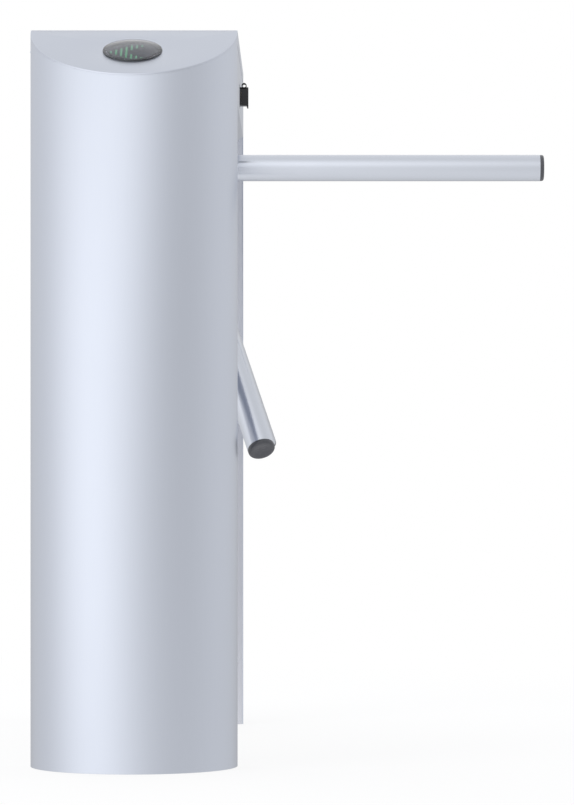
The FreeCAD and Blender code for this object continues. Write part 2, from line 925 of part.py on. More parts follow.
def drive_keys():
    hub = hub_key(shaft_head, hub_back - hub_key_length, hub_key_length)
    inner = hub_key(shaft_body, bearings_end, gear_end - bearings_end)
    return [hub, inner]


def hub_bolt_solid():
    seat = hub_floor - hub_washer
    washer = rod(2 * hub_recess_radius - hub_edge, hub_washer, V(0, 0, seat))
    head = hexagon(hub_bolt_head, hub_bolt_head_height, V(0, 0, seat - hub_bolt_head_height))
    shank = rod(hub_bolt, hub_bolt_length, V(0, 0, hub_floor))
    return fused([washer, head, shank])


def hub_cap():
    return rod(2 * (hub_recess_radius - arm_fit), hub_cap_thickness, V(0, 0, hub_front))


def ball_track(start):
    pitch = shaft_body / 4 + bearing_outer / 4
    return Part.makeTorus(pitch, ball_radius + ball_gap, V(0, 0, start + bearing_width / 2))


def inner_ring(start):
    return tube(shaft_body + 2 * ring_wall, shaft_body, bearing_width, V(0, 0, start)).cut(ball_track(start))


def outer_ring(start):
    ring = tube(bearing_outer, bearing_outer - 2 * ring_wall, bearing_width, V(0, 0, start))
    return ring.cut(ball_track(start))


def balls(start):
    pitch = shaft_body / 4 + bearing_outer / 4
    made = []
    for ball in range(ball_count):
        angle = 2 * math.pi * ball / ball_count
        centre = V(pitch * math.cos(angle), pitch * math.sin(angle), start + bearing_width / 2)
        made.append(Part.makeSphere(ball_radius, centre))
    return made


def with_boss(disc, boss_start, boss_length):
    return fused([disc, rod(disc_boss, boss_length, V(0, 0, boss_start))])


def lock_disc():
    disc = rod(2 * disc_radius, disc_thickness, V(0, 0, disc_start))
    notch_low = disc_radius - notch_depth
    half = notch_width / 2
    for notch in range(notch_count):
        cutter = block(-half, half, notch_low, disc_radius + notch_depth, disc_start, disc_end)
        disc = disc.cut(turned(cutter, 360 / notch_count * notch))
    wheel = with_boss(disc, bearings_end, disc_boss_length)
    wheel = wheel.cut(rod(shaft_body, disc_end - bearings_end, V(0, 0, bearings_end)))
    return wheel.cut(drive_keys()[1])


def gear_outline(teeth, height):
    pitch = gear_module * teeth / 2
    pressure = math.radians(gear_pressure_angle)
    base = pitch * math.cos(pressure)
    root = pitch - gear_dedendum * gear_module
    tip = pitch + gear_addendum * gear_module
    half_tooth = (math.pi * gear_module / 2 - gear_backlash) / (2 * pitch)
    half_tooth += math.tan(pressure) - pressure
    flank = [root, max(root, base), pitch, (pitch + tip) / 2, tip]
    sides = []
    for radius in flank:
        swing = math.acos(min(1.0, base / radius))
        sides.append((radius, half_tooth - math.tan(swing) + swing))
    points = []
    for tooth in range(teeth):
        middle = 2 * math.pi * tooth / teeth
        for radius, half in sides:
            points.append(V(radius * math.cos(middle - half), radius * math.sin(middle - half), height))
        for radius, half in reversed(sides):
            points.append(V(radius * math.cos(middle + half), radius * math.sin(middle + half), height))
    return points


def damper_gear():
    wheel = prism(gear_outline(gear_teeth, gear_start), V(0, 0, gear_thickness))
    wheel = with_boss(wheel, disc_end, gear_boss_length)
    wheel = wheel.cut(rod(shaft_body, gear_end - disc_end, V(0, 0, disc_end)))
    return wheel.cut(drive_keys()[1])


def damper_pinion():
    wheel = prism(gear_outline(pinion_teeth, gear_start), V(0, 0, gear_thickness))
    wheel = turned(wheel, 180 / pinion_teeth)
    low = plate_back + damper_height / 2
    spindle = rod(damper_spindle, gear_end + damper_spindle_end - low, V(0, 0, low))
    pinion = fused([wheel, spindle])
    pinion.translate(V(-gear_distance, 0, 0))
    return pinion


def rotary_damper():
    centre = V(-gear_distance, 0, plate_back)
    body = rod(damper_diameter, damper_height, centre)
    low = V(-gear_distance, 0, plate_back + damper_height / 2)
    return body.cut(rod(damper_spindle + 2 * pin_fit, damper_height, low))


def sensor_disc():
    disc = rod(2 * sensor_disc_radius, sensor_disc_thickness, V(0, 0, sensor_start))
    half = sensor_slot_width / 2
    low = sensor_disc_radius - sensor_slot_depth
    for turn in arm_turns():
        cutter = block(-half, half, low, 2 * sensor_disc_radius, sensor_start, sensor_end)
        disc = disc.cut(turned(cutter, turn))
    wheel = with_boss(disc, gear_end, sensor_boss_length)
    return wheel.cut(rod(shaft_body, sensor_end - gear_end, V(0, 0, gear_end)))


def shaft_nut():
    nut = hexagon(shaft_nut_width, shaft_nut_height, V(0, 0, sensor_end))
    return nut.cut(rod(shaft_thread + 2 * pin_fit, shaft_nut_height, V(0, 0, sensor_end)))


def build_rotor():
    save("hub_head", on_rotor(hub_head()))
    save("hub_cap", on_rotor(hub_cap()))
    save("hub_bolt", on_rotor(hub_bolt_solid()))
    save("arm_grub_screws", *[on_rotor(screw) for screw in grub_screws()])
    save("drive_keys", *[on_rotor(key) for key in drive_keys()])
    save("main_shaft", on_rotor(main_shaft()))
    for turn, name in zip(arm_turns(), ("side", "rear", "front")):
        save("arm_tube_" + name, on_rotor(arm_tube(turn)))
    save("arm_end_caps", *[on_rotor(arm_cap(turn)) for turn in arm_turns()])
    starts = (front_bearing, rear_bearing)
    save("bearing_inner_rings", *[on_rotor(inner_ring(start)) for start in starts])
    save("bearing_outer_rings", *[on_rotor(outer_ring(start)) for start in starts])
    save("bearing_balls", *[on_rotor(ball) for start in starts for ball in balls(start)])
    save("lock_disc", on_rotor(lock_disc()))
    save("damper_gear", on_rotor(damper_gear()))
    save("damper_pinion", on_rotor(damper_pinion()))
    save("rotary_damper", on_rotor(rotary_damper()))
    save("sensor_disc", on_rotor(sensor_disc()))
    save("shaft_nut", on_rotor(shaft_nut()))


# Mechanism plate, housing, pawls and solenoids, in the same frame


def standoff_places():
    return [(x, side * standoff_y) for x in (standoff_low, standoff_high) for side in (-1, 1)]


def housing_bolt_places():
    places = []
    for bolt in range(housing_bolt_count):
        angle = 2 * math.pi * (bolt + 0.5) / housing_bolt_count
        places.append((housing_bolt_circle / 2 * math.cos(angle), housing_bolt_circle / 2 * math.sin(angle)))
    return places


def bearing_housing():
    front = V(0, 0, housing_front)
    body = rod(2 * housing_radius, housing_end - housing_front, front)
    flange_low = plate_front - housing_flange_thickness
    flange = rod(housing_flange, housing_flange_thickness, V(0, 0, flange_low))
    housing = fused([body, flange])
    housing = housing.cut(rod(housing_lip_bore, housing_end - housing_front, front))
    for start in (front_bearing, rear_bearing):
        length = bearing_width if start == front_bearing else housing_end - start
        housing = housing.cut(rod(bearing_outer, length, V(0, 0, start)))
    hole = mechanism_bolt + 2 * pin_fit
    for x, y in housing_bolt_places():
        housing = housing.cut(rod(hole, housing_flange_thickness, V(x, y, flange_low)))
    return housing


def mechanism_plate():
    plate = block(plate_low, plate_high, -plate_half_length, plate_half_length, plate_front, plate_back)
    plate = plate.cut(rod(2 * (housing_radius + sheet_fit), plate_thickness, V(0, 0, plate_front)))
    for x, y in housing_bolt_places() + standoff_places():
        plate = plate.cut(rod(mechanism_bolt + 2 * pin_fit, plate_thickness, V(x, y, plate_front)))
    for side in (-1, 1):
        seat = V(pawl_pivot_x, side * pawl_pivot_y, plate_front)
        plate = plate.cut(rod(pivot_pin, plate_thickness, seat))
    return plate


def standoffs():
    length = plate_front - face_inside
    return [
        tube(standoff_diameter, mechanism_bolt + 2 * pin_fit, length, V(x, y, face_inside))
        for x, y in standoff_places()
    ]


def capped_bolt(x, y, tip, seat):
    shank = rod(mechanism_bolt, seat - tip, V(x, y, tip))
    head = rod(mechanism_bolt_head, mechanism_bolt_head_height, V(x, y, seat))
    return fused([shank, head])


def mechanism_bolts():
    bolts = [capped_bolt(x, y, -apex_depth, plate_back) for x, y in standoff_places()]
    flange_low = plate_front - housing_flange_thickness
    bolts += [capped_bolt(x, y, flange_low, plate_back) for x, y in housing_bolt_places()]
    return bolts


def engaged_pawl():
    low = disc_start + pawl_side_gap
    high = disc_end - pawl_side_gap
    pivot = V(pawl_pivot_x, pawl_pivot_y, low)
    half = pawl_bar / 2
    bar = block(pawl_pivot_x, pawl_tail_x, pawl_pivot_y - half, pawl_pivot_y + half, low, high)
    boss = rod(pawl_boss, high - low, pivot)
    half_tooth = pawl_tooth / 2
    tooth = block(-half_tooth, half_tooth, pawl_tooth_radius, pawl_pivot_y, low, high)
    pawl = fused([bar, boss, tooth])
    pawl = pawl.cut(rod(pivot_pin + 2 * pin_fit, high - low, pivot))
    slot_width = plunger_pin + 2 * plunger_pin_gap
    slot_end = plunger_slot_extra / 2
    slot = [block(
        plunger_x - slot_end,
        plunger_x + slot_end,
        pawl_pivot_y - slot_width / 2,
        pawl_pivot_y + slot_width / 2,
        low,
        high,
    )]
    for end in (-slot_end, slot_end):
        slot.append(rod(slot_width, high - low, V(plunger_x + end, pawl_pivot_y, low)))
    return pawl.cut(fused(slot))


def rear_pawl():
    return turned(engaged_pawl(), pawl_swing, V(pawl_pivot_x, pawl_pivot_y, 0))


def pivot_pin_solid():
    pin = rod(pivot_pin, disc_end + pivot_pin_end - plate_front, V(pawl_pivot_x, pawl_pivot_y, plate_front))
    collar_length = disc_start - plate_back
    collar = rod(pawl_boss, collar_length, V(pawl_pivot_x, pawl_pivot_y, plate_back))
    return fused([pin, collar])


def plunger_travel():
    return (plunger_x - pawl_pivot_x) * math.tan(math.radians(pawl_swing))


def rear_plunger():
    half = plunger_tongue / 2
    tongue_low = disc_end + plunger_gap
    tongue_high = tongue_low + plunger_tongue_thickness
    pin = rod(plunger_pin, tongue_high - disc_start, V(plunger_x, pawl_pivot_y, disc_start))
    tongue = block(
        plunger_x - half,
        plunger_x + half,
        pawl_pivot_y - half,
        plunger_rod_start + half,
        tongue_low,
        tongue_high,
    )
    body = rod(plunger_rod, plunger_rod_length, V(plunger_x, plunger_rod_start, plunger_axis), ALONG_Y)
    plunger = fused([pin, tongue, body])
    plunger.translate(V(0, plunger_travel(), 0))
    return plunger


def rear_solenoid():
    half = solenoid_width / 2
    coil = block(
        plunger_x - half,
        plunger_x + half,
        solenoid_start,
        solenoid_end,
        plunger_axis - half,
        plunger_axis + half,
    )
    start = V(plunger_x, solenoid_start, plunger_axis)
    return coil.cut(rod(plunger_rod + 2 * plunger_gap, solenoid_length, start, ALONG_Y))


def rear_solenoid_bracket():
    half = solenoid_width / 2
    x0 = plunger_x - half
    x1 = plunger_x + half
    top = plunger_axis + half
    front = solenoid_start - bracket_sheet
    back = solenoid_end + bracket_sheet
    foot = block(x0, x1, front, back, plate_back, plate_back + bracket_sheet)
    front_leg = block(x0, x1, front, solenoid_start, plate_back, top)
    back_leg = block(x0, x1, solenoid_end, back, plate_back, top)
    bracket = fused([foot, front_leg, back_leg])
    hole = rod(plunger_rod + 2 * plunger_gap, bracket_sheet, V(plunger_x, front, plunger_axis), ALONG_Y)
    return bracket.cut(hole)


def position_sensor():
    half = sensor_width / 2
    lower = sensor_start - sensor_gap
    upper = sensor_end + sensor_gap
    reach = sensor_disc_radius - sensor_reach
    post_end = sensor_post_x + sensor_post
    post = block(sensor_post_x, post_end, -half, half, plate_back, upper + sensor_arm)
    low_arm = block(reach, post_end, -half, half, lower - sensor_arm, lower)
    high_arm = block(reach, post_end, -half, half, upper, upper + sensor_arm)
    foot_end = sensor_post_x + sensor_width
    foot = block(sensor_post_x, foot_end, -half, half, plate_back, plate_back + sensor_post)
    return fused([post, low_arm, high_arm, foot])


def build_mechanism():
    save("bearing_housing", on_rotor(bearing_housing()))
    save("mechanism_plate", on_rotor(mechanism_plate()))
    save("plate_standoffs", *[on_rotor(standoff) for standoff in standoffs()])
    save("mechanism_bolts", *[on_rotor(bolt) for bolt in mechanism_bolts()])
    save("position_sensor", on_rotor(position_sensor()))
    pin = pivot_pin_solid()
    save("pawl_pivot_pins", on_rotor(pin), on_rotor(across(pin)))
    bracket = rear_solenoid_bracket()
    save("solenoid_brackets", on_rotor(bracket), on_rotor(across(bracket)))
    save("solenoids", on_rotor(rear_solenoid()), on_rotor(across(rear_solenoid())))
    for name, shape in (("pawl", rear_pawl()), ("plunger", rear_plunger())):
        save("rear_" + name, on_rotor(shape))
        save("front_" + name, on_rotor(across(shape)))


# Electronics


def board_holes():
    xs = (board_x[0] + board_hole_edge, board_x[1] - board_hole_edge)
    ys = (board_y[0] + board_hole_edge, board_y[1] - board_hole_edge)
    return [(x, y) for x in xs for y in ys]


def control_board():
    low = box_floor + box_sheet + board_standoff
    top = low + pcb_thickness
    pieces = [block(*board_x, *board_y, low, top)]
    half_chip = chip_size / 2
    middle_x = sum(board_x) / 2
    middle_y = sum(board_y) / 2
    pieces.append(block(
        middle_x - half_chip,
        middle_x + half_chip,
        middle_y - half_chip,
        middle_y + half_chip,
        top,
        top + chip_height,
    ))
    step = (board_length - 4 * board_hole_edge) / terminal_count
    for terminal in range(terminal_count):
        y0 = board_y[0] + 2 * board_hole_edge + terminal * step
        pieces.append(block(
            board_x[1] - terminal_depth,
            board_x[1],
            y0,
            y0 + step - terminal_gap,
            top,
            top + terminal_height,
        ))
    return fused(pieces)


def board_standoffs():
    low = box_floor + box_sheet
    return [rod(board_standoff_diameter, board_standoff, V(x, y, low)) for x, y in board_holes()]


def power_supply():
    low = box_floor + box_sheet
    case = block(*supply_x, *supply_y, low, low + supply_height)
    step = supply_length / (supply_slot_count + 1)
    x0 = supply_x[0] + step
    x1 = supply_x[1] - step
    for slot in range(supply_slot_count):
        y0 = supply_y[0] + step * (slot + 1) - supply_slot_width / 2
        top = low + supply_height
        case = case.cut(block(x0, x1, y0, y0 + supply_slot_width, top - supply_foot, top))
    return case


def build_electronics():
    save("control_board", control_board())
    save("board_standoffs", *board_standoffs())
    save("power_supply", power_supply())


os.makedirs("parts", exist_ok=True)
build_columns()
build_box()
build_lock()
build_rotor()
build_mechanism()
build_electronics()
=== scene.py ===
"""Looks of a bridge tripod turnstile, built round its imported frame."""
import json
import math

import bmesh
import bpy
from mathutils import Matrix, Vector


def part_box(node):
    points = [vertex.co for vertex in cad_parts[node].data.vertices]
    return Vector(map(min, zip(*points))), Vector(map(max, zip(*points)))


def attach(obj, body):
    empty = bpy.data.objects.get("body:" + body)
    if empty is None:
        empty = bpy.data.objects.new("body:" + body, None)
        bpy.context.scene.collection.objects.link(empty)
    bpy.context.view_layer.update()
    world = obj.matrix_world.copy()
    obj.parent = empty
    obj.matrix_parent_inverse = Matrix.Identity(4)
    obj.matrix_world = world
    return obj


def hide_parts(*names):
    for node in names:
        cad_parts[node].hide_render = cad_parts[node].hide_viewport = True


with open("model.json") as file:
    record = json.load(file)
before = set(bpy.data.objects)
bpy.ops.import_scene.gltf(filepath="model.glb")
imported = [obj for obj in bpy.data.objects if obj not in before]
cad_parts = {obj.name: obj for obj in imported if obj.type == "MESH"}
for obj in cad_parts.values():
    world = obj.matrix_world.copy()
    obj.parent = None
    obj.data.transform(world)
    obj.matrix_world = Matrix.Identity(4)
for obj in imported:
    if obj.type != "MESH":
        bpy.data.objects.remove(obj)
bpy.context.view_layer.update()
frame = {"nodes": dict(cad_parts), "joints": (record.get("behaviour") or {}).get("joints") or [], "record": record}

bl_info = {
    "name": "Tripod Turnstile",
    "version": (1, 0, 0),
    "blender": (4, 5, 0),
    "location": "View3D > Sidebar > Turnstile",
    "description": "Models and finishes the pieces of a bridge tripod turnstile",
    "category": "Object",
}

JOINTS = {joint["name"]: joint for joint in frame["joints"]}
SHELL_LOW, SHELL_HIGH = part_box("front_column_shell")
HALF_WIDTH = SHELL_HIGH.x
INNER_Y = -SHELL_HIGH.y
NOSE_Y = -SHELL_LOW.y - HALF_WIDTH
RIDGE_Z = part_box("front_top_plate")[1].z
COVER_LOW, COVER_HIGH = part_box("dust_cover")
PIN_LOW, PIN_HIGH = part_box("dust_cover_pin")
PIN_AXIS = (PIN_LOW + PIN_HIGH) / 2
PIN_RADIUS = (PIN_HIGH.z - PIN_LOW.z) / 2
LOCK_LOW, LOCK_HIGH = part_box("lock_body")
SCREW_LOW, SCREW_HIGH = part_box("panel_screws")
BOARD_LOW, BOARD_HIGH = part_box("control_board")
ARM_LOW, ARM_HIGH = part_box("arm_tube_side")
ARM_RADIUS = (ARM_HIGH.z - ARM_LOW.z) / 2
TIP_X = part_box("arm_end_caps")[1].x
ARM_NODES = (("arm_tube_side", 0), ("arm_tube_rear", 120), ("arm_tube_front", 240))
ENDS = (("front", -1), ("rear", 1))
# Steps of full turns, small turns, domes, dishes and large roundings
SPIN_STEPS = 96
SMALL_STEPS = 32
DOME_STEPS = 16
DISH_STEPS = 6
ROUND_STEPS = 6
SCREW_ROWS = 3
# The screw heads' rings as shares of radius and height, and their socket's share of the height
SCREW_DOME = ((1.0, 0.45), (0.90, 0.75), (0.74, 0.93), (0.60, 1.0))
SOCKET_DEPTH = 0.7
# The arrow's columns and half rows of diodes, its thickness as wired and as lit, and its last filled column
LED_COLUMNS = 7
LED_ROWS = 4
LED_BAND = 4
LIT_BAND = 3
LIT_COLUMN = 3
TERMINALS = 8
# The control board's main chip, small chips and capacitors: places as shares of the board,
# then the small chips' width and length
MAIN_CHIP = (0.5, 0.5)
DRIVERS = (
    (0.20, 0.24, 0.008, 0.014),
    (0.44, 0.24, 0.008, 0.014),
    (0.20, 0.50, 0.009, 0.009),
    (0.20, 0.74, 0.010, 0.018),
    (0.46, 0.76, 0.006, 0.010),
)
CANS = ((0.68, 0.18), (0.68, 0.30), (0.66, 0.84))
# Angles past which an edge is shaded sharp, is a rim of the column sheet, or is a rim of the top plate
SMOOTH_ANGLE = math.radians(34)
COLUMN_RIM_ANGLE = math.radians(60)
TOP_RIM_ANGLE = math.radians(55)
SLANT = math.sqrt(0.5)
MERGE_DISTANCE = 1e-6


def length(name, description, default):
    return bpy.props.FloatProperty(name=name, description=description, default=default, unit="LENGTH")


def colour(name, description, default):
    return bpy.props.FloatVectorProperty(
        name=name, description=description, default=default, size=3, min=0, max=1, subtype="COLOR"
    )


class TurnstileSizes(bpy.types.PropertyGroup):
    """Sizes of the turnstile's modelled pieces"""

    column_wall: length("Column wall", "Thickness of the sheet", 0.0015)
    top_drop: length("Top drop", "Fall from ridge to nose", 0.069)
    top_sheet: length("Top sheet", "Thickness of the top plate", 0.002)
    top_seam: length("Top seam", "Gap between top plate and column", 0.00005)
    edge: length("Sheet edge", "Rounding of sheet edges", 0.0009)
    fit: length("Fit", "Clearance between fitted pieces", 0.0002)
    indicator_from_ridge: length("Indicator place", "Distance from the ridge", 0.077)
    bezel: length("Bezel", "Outside diameter", 0.080)
    bezel_proud: length("Bezel height", "Height above the top plate", 0.001)
    bezel_round: length("Bezel rounding", "Rounding of the rim", 0.0006)
    sleeve: length("Sleeve", "Diameter of the bezel's sleeve", 0.0776)
    sleeve_depth: length("Sleeve depth", "Depth below the top plate", 0.007)
    lens: length("Lens", "Diameter in the bezel", 0.0756)
    lens_seat: length("Lens seat", "Width of the ledge under the lens", 0.0025)
    lens_depth: length("Lens depth", "Depth of the ledge below the top plate", 0.001)
    lens_lip: length("Lens lip", "Reach over the bezel", 0.0016)
    lens_edge: length("Lens edge", "Thickness of the lip", 0.0005)
    lens_rise: length("Lens rise", "Height of the dome", 0.0072)
    lens_wall: length("Lens wall", "Thickness of the dome", 0.0016)
    led_length: length("Diode length", "Length along the arrow", 0.0026)
    led_width: length("Diode width", "Width across the arrow", 0.0042)
    led_low: length("Diode foot", "Depth below the top plate", 0.0034)
    led_height: length("Diode height", "Height of each diode", 0.0016)
    led_round: length("Diode rounding", "Rounding of each diode", 0.0005)
    led_column: length("Column pitch", "Distance between columns of diodes", 0.0068)
    led_row: length("Row pitch", "Distance between diodes of a column", 0.0055)
    arrow_tip: length("Arrow tip", "Distance from the lens's middle", 0.0286)
    arm_wall: length("Arm wall", "Thickness of the tubes", 0.0015)
    arm_start: length("Arm start", "Distance from the arms' meeting point", 0.056)
    cap_edge: length("Cap edge", "Rounding of the end caps", 0.004)
    cap_rim: length("Cap rim", "Width round the cap's dish", 0.0055)
    cap_dish: length("Cap dish", "Depth of the dish", 0.0015)
    cap_plug: length("Cap plug", "Length in the tube", 0.020)
    hub_radius: length("Hub radius", "Radius of the head", 0.068)
    hub_nose: length("Hub nose", "Radius of the flat nose", 0.030)
    hub_back: length("Hub back", "Distance from the arms' meeting point", 0.026)
    hub_side: length("Hub side", "Length of the straight side", 0.030)
    hub_round: length("Hub rounding", "Rounding of the corners", 0.005)
    hub_bore: length("Hub bore", "Radius of the bore for the shaft", 0.0155)
    nose_cap: length("Nose cap", "Radius of the cap in the nose", 0.020)
    nose_seat: length("Nose seat", "Depth of the cap's seat", 0.0045)
    nose_height: length("Nose height", "Thickness of the cap", 0.004)
    nose_round: length("Nose rounding", "Rounding of the cap", 0.0012)
    collar: length("Arm collar", "Height of the collars", 0.003)
    collar_wall: length("Collar wall", "Thickness of the collars", 0.006)
    collar_root: length("Collar root", "Depth in the hub", 0.012)
    cover_back: length("Cover back", "Distance from the box", 0.0018)
    cover_wall: length("Cover wall", "Thickness of the dust cover", 0.002)
    cover_lip: length("Cover lip", "Height of the lip under the cover", 0.003)
    cover_round: length("Cover rounding", "Rounding of the dust cover", 0.0012)
    cover_eye: length("Cover eye", "Outside diameter of the hinge's eyes", 0.0071)
    cover_shoulder: length("Cover shoulder", "Depth below the pin's axis", 0.0025)
    shoulder_gap: length("Shoulder gap", "Distance from the pin's axis", 0.0021)
    cover_ear: length("Cover ear", "Width left for each ear of the lock", 0.0029)
    lock_sheet: length("Lock plate", "Thickness of the plate", 0.0015)
    lock_ear: length("Lock ear", "Width of each ear", 0.0026)
    lock_web: length("Lock web", "Height of the webs under the ears", 0.0016)
    lock_barrel: length("Lock barrel", "Outside diameter", 0.018)
    lock_bore: length("Lock bore", "Diameter of the plate's hole for the plug", 0.0122)
    pin_bore: length("Pin bore", "Diameter inside the hollow pin", 0.0053)
    board_sheet: length("Board", "Thickness of the control board", 0.0016)
    board_round: length("Board rounding", "Rounding of the board's pieces", 0.0004)
    board_margin: length("Board margin", "Length free beside the terminals", 0.014)
    chip: length("Chip", "Width of the main chip", 0.026)
    chip_height: length("Chip height", "Height of the main chip", 0.006)
    driver_height: length("Driver height", "Height of the small chips", 0.0024)
    can_radius: length("Can radius", "Radius of the capacitors", 0.005)
    can_height: length("Can height", "Height of the capacitors", 0.0125)
    terminal_depth: length("Terminal depth", "Depth of each block", 0.012)
    terminal_gap: length("Terminal gap", "Gap between the blocks", 0.0016)
    terminal_wall: length("Terminal wall", "Thickness round each well", 0.0028)
    terminal_well: length("Terminal well", "Depth of each well", 0.005)
    screw_head: length("Screw head", "Diameter of the heads", 0.0095)
    screw_height: length("Screw height", "Height of the heads", 0.0025)
    screw_socket: length("Screw socket", "Width of the sockets", 0.003)


class TurnstileColours(bpy.types.PropertyGroup):
    """Colours of the turnstile's finishes"""

    steel: colour("Satin steel", "Sheet of the columns and the box", (0.60, 0.635, 0.715))
    # The panel colour is the satin steel painted lighter: painted light that stands for the brighter reflection on
    # the inner panels
    panel: colour("Panel steel", "Sheet of the inner panels", (0.645, 0.66, 0.715))
    arm: colour("Arm steel", "Polished tube of the arms", (0.64, 0.672, 0.742))
    hub: colour("Hub alloy", "Satin cast alloy of the hub", (0.50, 0.52, 0.56))
    cap: colour("Cap plastic", "Dark plastic of the end caps", (0.076, 0.078, 0.089))
    lock: colour("Lock black", "Black coating of the lock", (0.006, 0.006, 0.007))
    bezel: colour("Bezel", "Glossy plastic of the bezel", (0.030, 0.032, 0.036))
    lens: colour("Lens", "Smoked acrylic of the lens", (0.275, 0.287, 0.325))
    led: colour("Diode", "Light of the arrow", (0.16, 0.80, 0.32))
    led_off: colour("Unlit diode", "Clouded body of an unlit diode", (0.045, 0.060, 0.052))
    board: colour("Board", "Coating of the circuit boards", (0.02, 0.10, 0.05))
    terminal: colour("Terminal", "Moulding of the terminal blocks", (0.05, 0.26, 0.12))
    mask: colour("Dark board", "Coating of the boards under the lenses", (0.020, 0.021, 0.025))
    zinc: colour("Zinc", "Plated steel of brackets and fasteners", (0.52, 0.53, 0.52))
    bright: colour("Bright steel", "Ground steel of shafts and bearings", (0.68, 0.68, 0.70))
    oxide: colour("Oxide", "Blackened steel of gears and pawls", (0.040, 0.041, 0.046))
    brass: colour("Brass", "Turned brass of the lock plug", (0.66, 0.50, 0.24))
    tape: colour("Coil tape", "Tape round the coils", (0.10, 0.09, 0.03))
    rubber: colour("Rubber", "Rubber of the grommets", (0.015, 0.015, 0.016))
    supply: colour("Supply cover", "Sheet of the power supply", (0.58, 0.60, 0.61))
    floor: colour("Floor", "Plain pale floor", (0.86, 0.86, 0.87))


def sizes():
    return bpy.context.scene.turnstile_sizes


def colours():
    return bpy.context.scene.turnstile_colours


# Finishes


PLAIN_GRAIN = (1, 1, 1)
UPRIGHT_GRAIN = (1, 1, 0.012)
LENGTH_GRAIN = (1, 0.012, 1)
WOUND_GRAIN = (1, 40, 1)
BRUSHED = (1.0, 0.34, 0.04, 1400.0, 0.035, 0.02, 7.0)
DIODE = (0.0, 0.40, 0.05, 900.0, 0.02, 0.10, 200.0)
# By slot: name, colour, metallic, roughness, its spread, fineness, bump and tone of the grain, scale of
# the marks, and, where they differ from the plain ones, the grain's direction and the coat
FINISHES = {
    "satin_steel": ("Satin Steel", "steel", *BRUSHED, UPRIGHT_GRAIN),
    "satin_lid": ("Satin Lid", "steel", *BRUSHED, LENGTH_GRAIN),
    # The inner panels' finish is the satin steel with the lighter panel colour: painted light, not a different
    # sheet
    "satin_panel": ("Satin Panel", "panel", *BRUSHED, UPRIGHT_GRAIN),
    "arm_steel": ("Arm Steel", "arm", 1.0, 0.25, 0.05, 700.0, 0.02, 0.02, 14.0),
    "cast_alloy": ("Cast Alloy", "hub", 1.0, 0.38, 0.06, 900.0, 0.12, 0.05, 18.0),
    "cap_plastic": ("Cap Plastic", "cap", 0.0, 0.26, 0.06, 1600.0, 0.12, 0.10, 40.0),
    "lock_black": ("Lock Black", "lock", 0.0, 0.42, 0.06, 2200.0, 0.08, 0.15, 60.0),
    "bezel_dark": ("Bezel Dark", "bezel", 0.0, 0.20, 0.05, 1500.0, 0.02, 0.08, 40.0, PLAIN_GRAIN, 0.3),
    "board_green": ("Board Green", "board", 0.0, 0.40, 0.08, 600.0, 0.05, 0.20, 30.0),
    "board_dark": ("Board Dark", "mask", 0.0, 0.45, 0.08, 600.0, 0.05, 0.20, 30.0),
    "terminal": ("Terminal", "terminal", 0.0, 0.42, 0.06, 1200.0, 0.05, 0.08, 40.0),
    "zinc_steel": ("Zinc Steel", "zinc", 1.0, 0.36, 0.08, 500.0, 0.05, 0.06, 25.0),
    "bright_steel": ("Bright Steel", "bright", 1.0, 0.16, 0.05, 1500.0, 0.02, 0.02, 30.0),
    "black_steel": ("Black Steel", "oxide", 0.9, 0.36, 0.08, 900.0, 0.06, 0.15, 30.0),
    "lock_brass": ("Lock Brass", "brass", 1.0, 0.26, 0.06, 1200.0, 0.04, 0.06, 60.0),
    "coil_tape": ("Coil Tape", "tape", 0.0, 0.35, 0.08, 90.0, 0.10, 0.15, 30.0, WOUND_GRAIN),
    "rubber": ("Rubber", "rubber", 0.0, 0.62, 0.08, 1200.0, 0.15, 0.15, 40.0),
    "supply_case": ("Supply Cover", "supply", 1.0, 0.40, 0.06, 700.0, 0.05, 0.04, 20.0),
    "lens_dark": ("Lens Smoked", "lens", 0.0, 0.05, 0.03, 900.0, 0.01, 0.03, 30.0),
    "led_green": ("Led Green", "led", *DIODE),
    "led_off": ("Led Off", "led_off", *DIODE),
}
GRAIN_NOISE = {"Detail": 4.0, "Roughness": 0.6}
MARKS_NOISE = {"Detail": 5.0, "Roughness": 0.55, "Distortion": 0.4}
GRAIN_DEPTH = 0.0004
LENS_LOOK = {"Transmission Weight": 0.86, "IOR": 1.49}
LED_STRENGTH = 1.15


def wire(tree, node, sockets):
    """Gives each named input its value, or links it if it is given another node's output."""
    for name, value in sockets.items():
        if isinstance(value, bpy.types.NodeSocket):
            tree.links.new(value, node.inputs[name])
        else:
            node.inputs[name].default_value = value


def add_node(tree, kind, sockets, **settings):
    """Adds a node, makes its settings and then wires its inputs."""
    node = tree.nodes.new(kind)
    for name, value in settings.items():
        setattr(node, name, value)
    wire(tree, node, sockets)
    return node


def new_group(name, inputs, output):
    group = bpy.data.node_groups.new(name, "ShaderNodeTree")
    for socket, kind, default in inputs:
        made = group.interface.new_socket(name=socket, in_out="INPUT", socket_type=kind)
        made.default_value = default
    group.interface.new_socket(name=output, in_out="OUTPUT", socket_type="NodeSocketFloat")
    return group, group.nodes.new("NodeGroupInput").outputs, group.nodes.new("NodeGroupOutput")


def grain_group():
    """Drawn or cast grain: fine streaks along one direction, as a height."""
    name = "Metal Grain"
    if name in bpy.data.node_groups:
        return bpy.data.node_groups[name]
    group, given, made = new_group(
        name,
        [
            ("Vector", "NodeSocketVector", (0, 0, 0)),
            ("Stretch", "NodeSocketVector", PLAIN_GRAIN),
            ("Fineness", "NodeSocketFloat", 900.0),
        ],
        "Height",
    )
    factors = {0: given["Vector"], 1: given["Stretch"]}
    stretch = add_node(group, "ShaderNodeVectorMath", factors, operation="MULTIPLY")
    source = {"Vector": stretch.outputs["Vector"], "Scale": given["Fineness"]}
    noise = add_node(group, "ShaderNodeTexNoise", source | GRAIN_NOISE)
    wire(group, made, {"Height": noise.outputs["Fac"]})
    return group


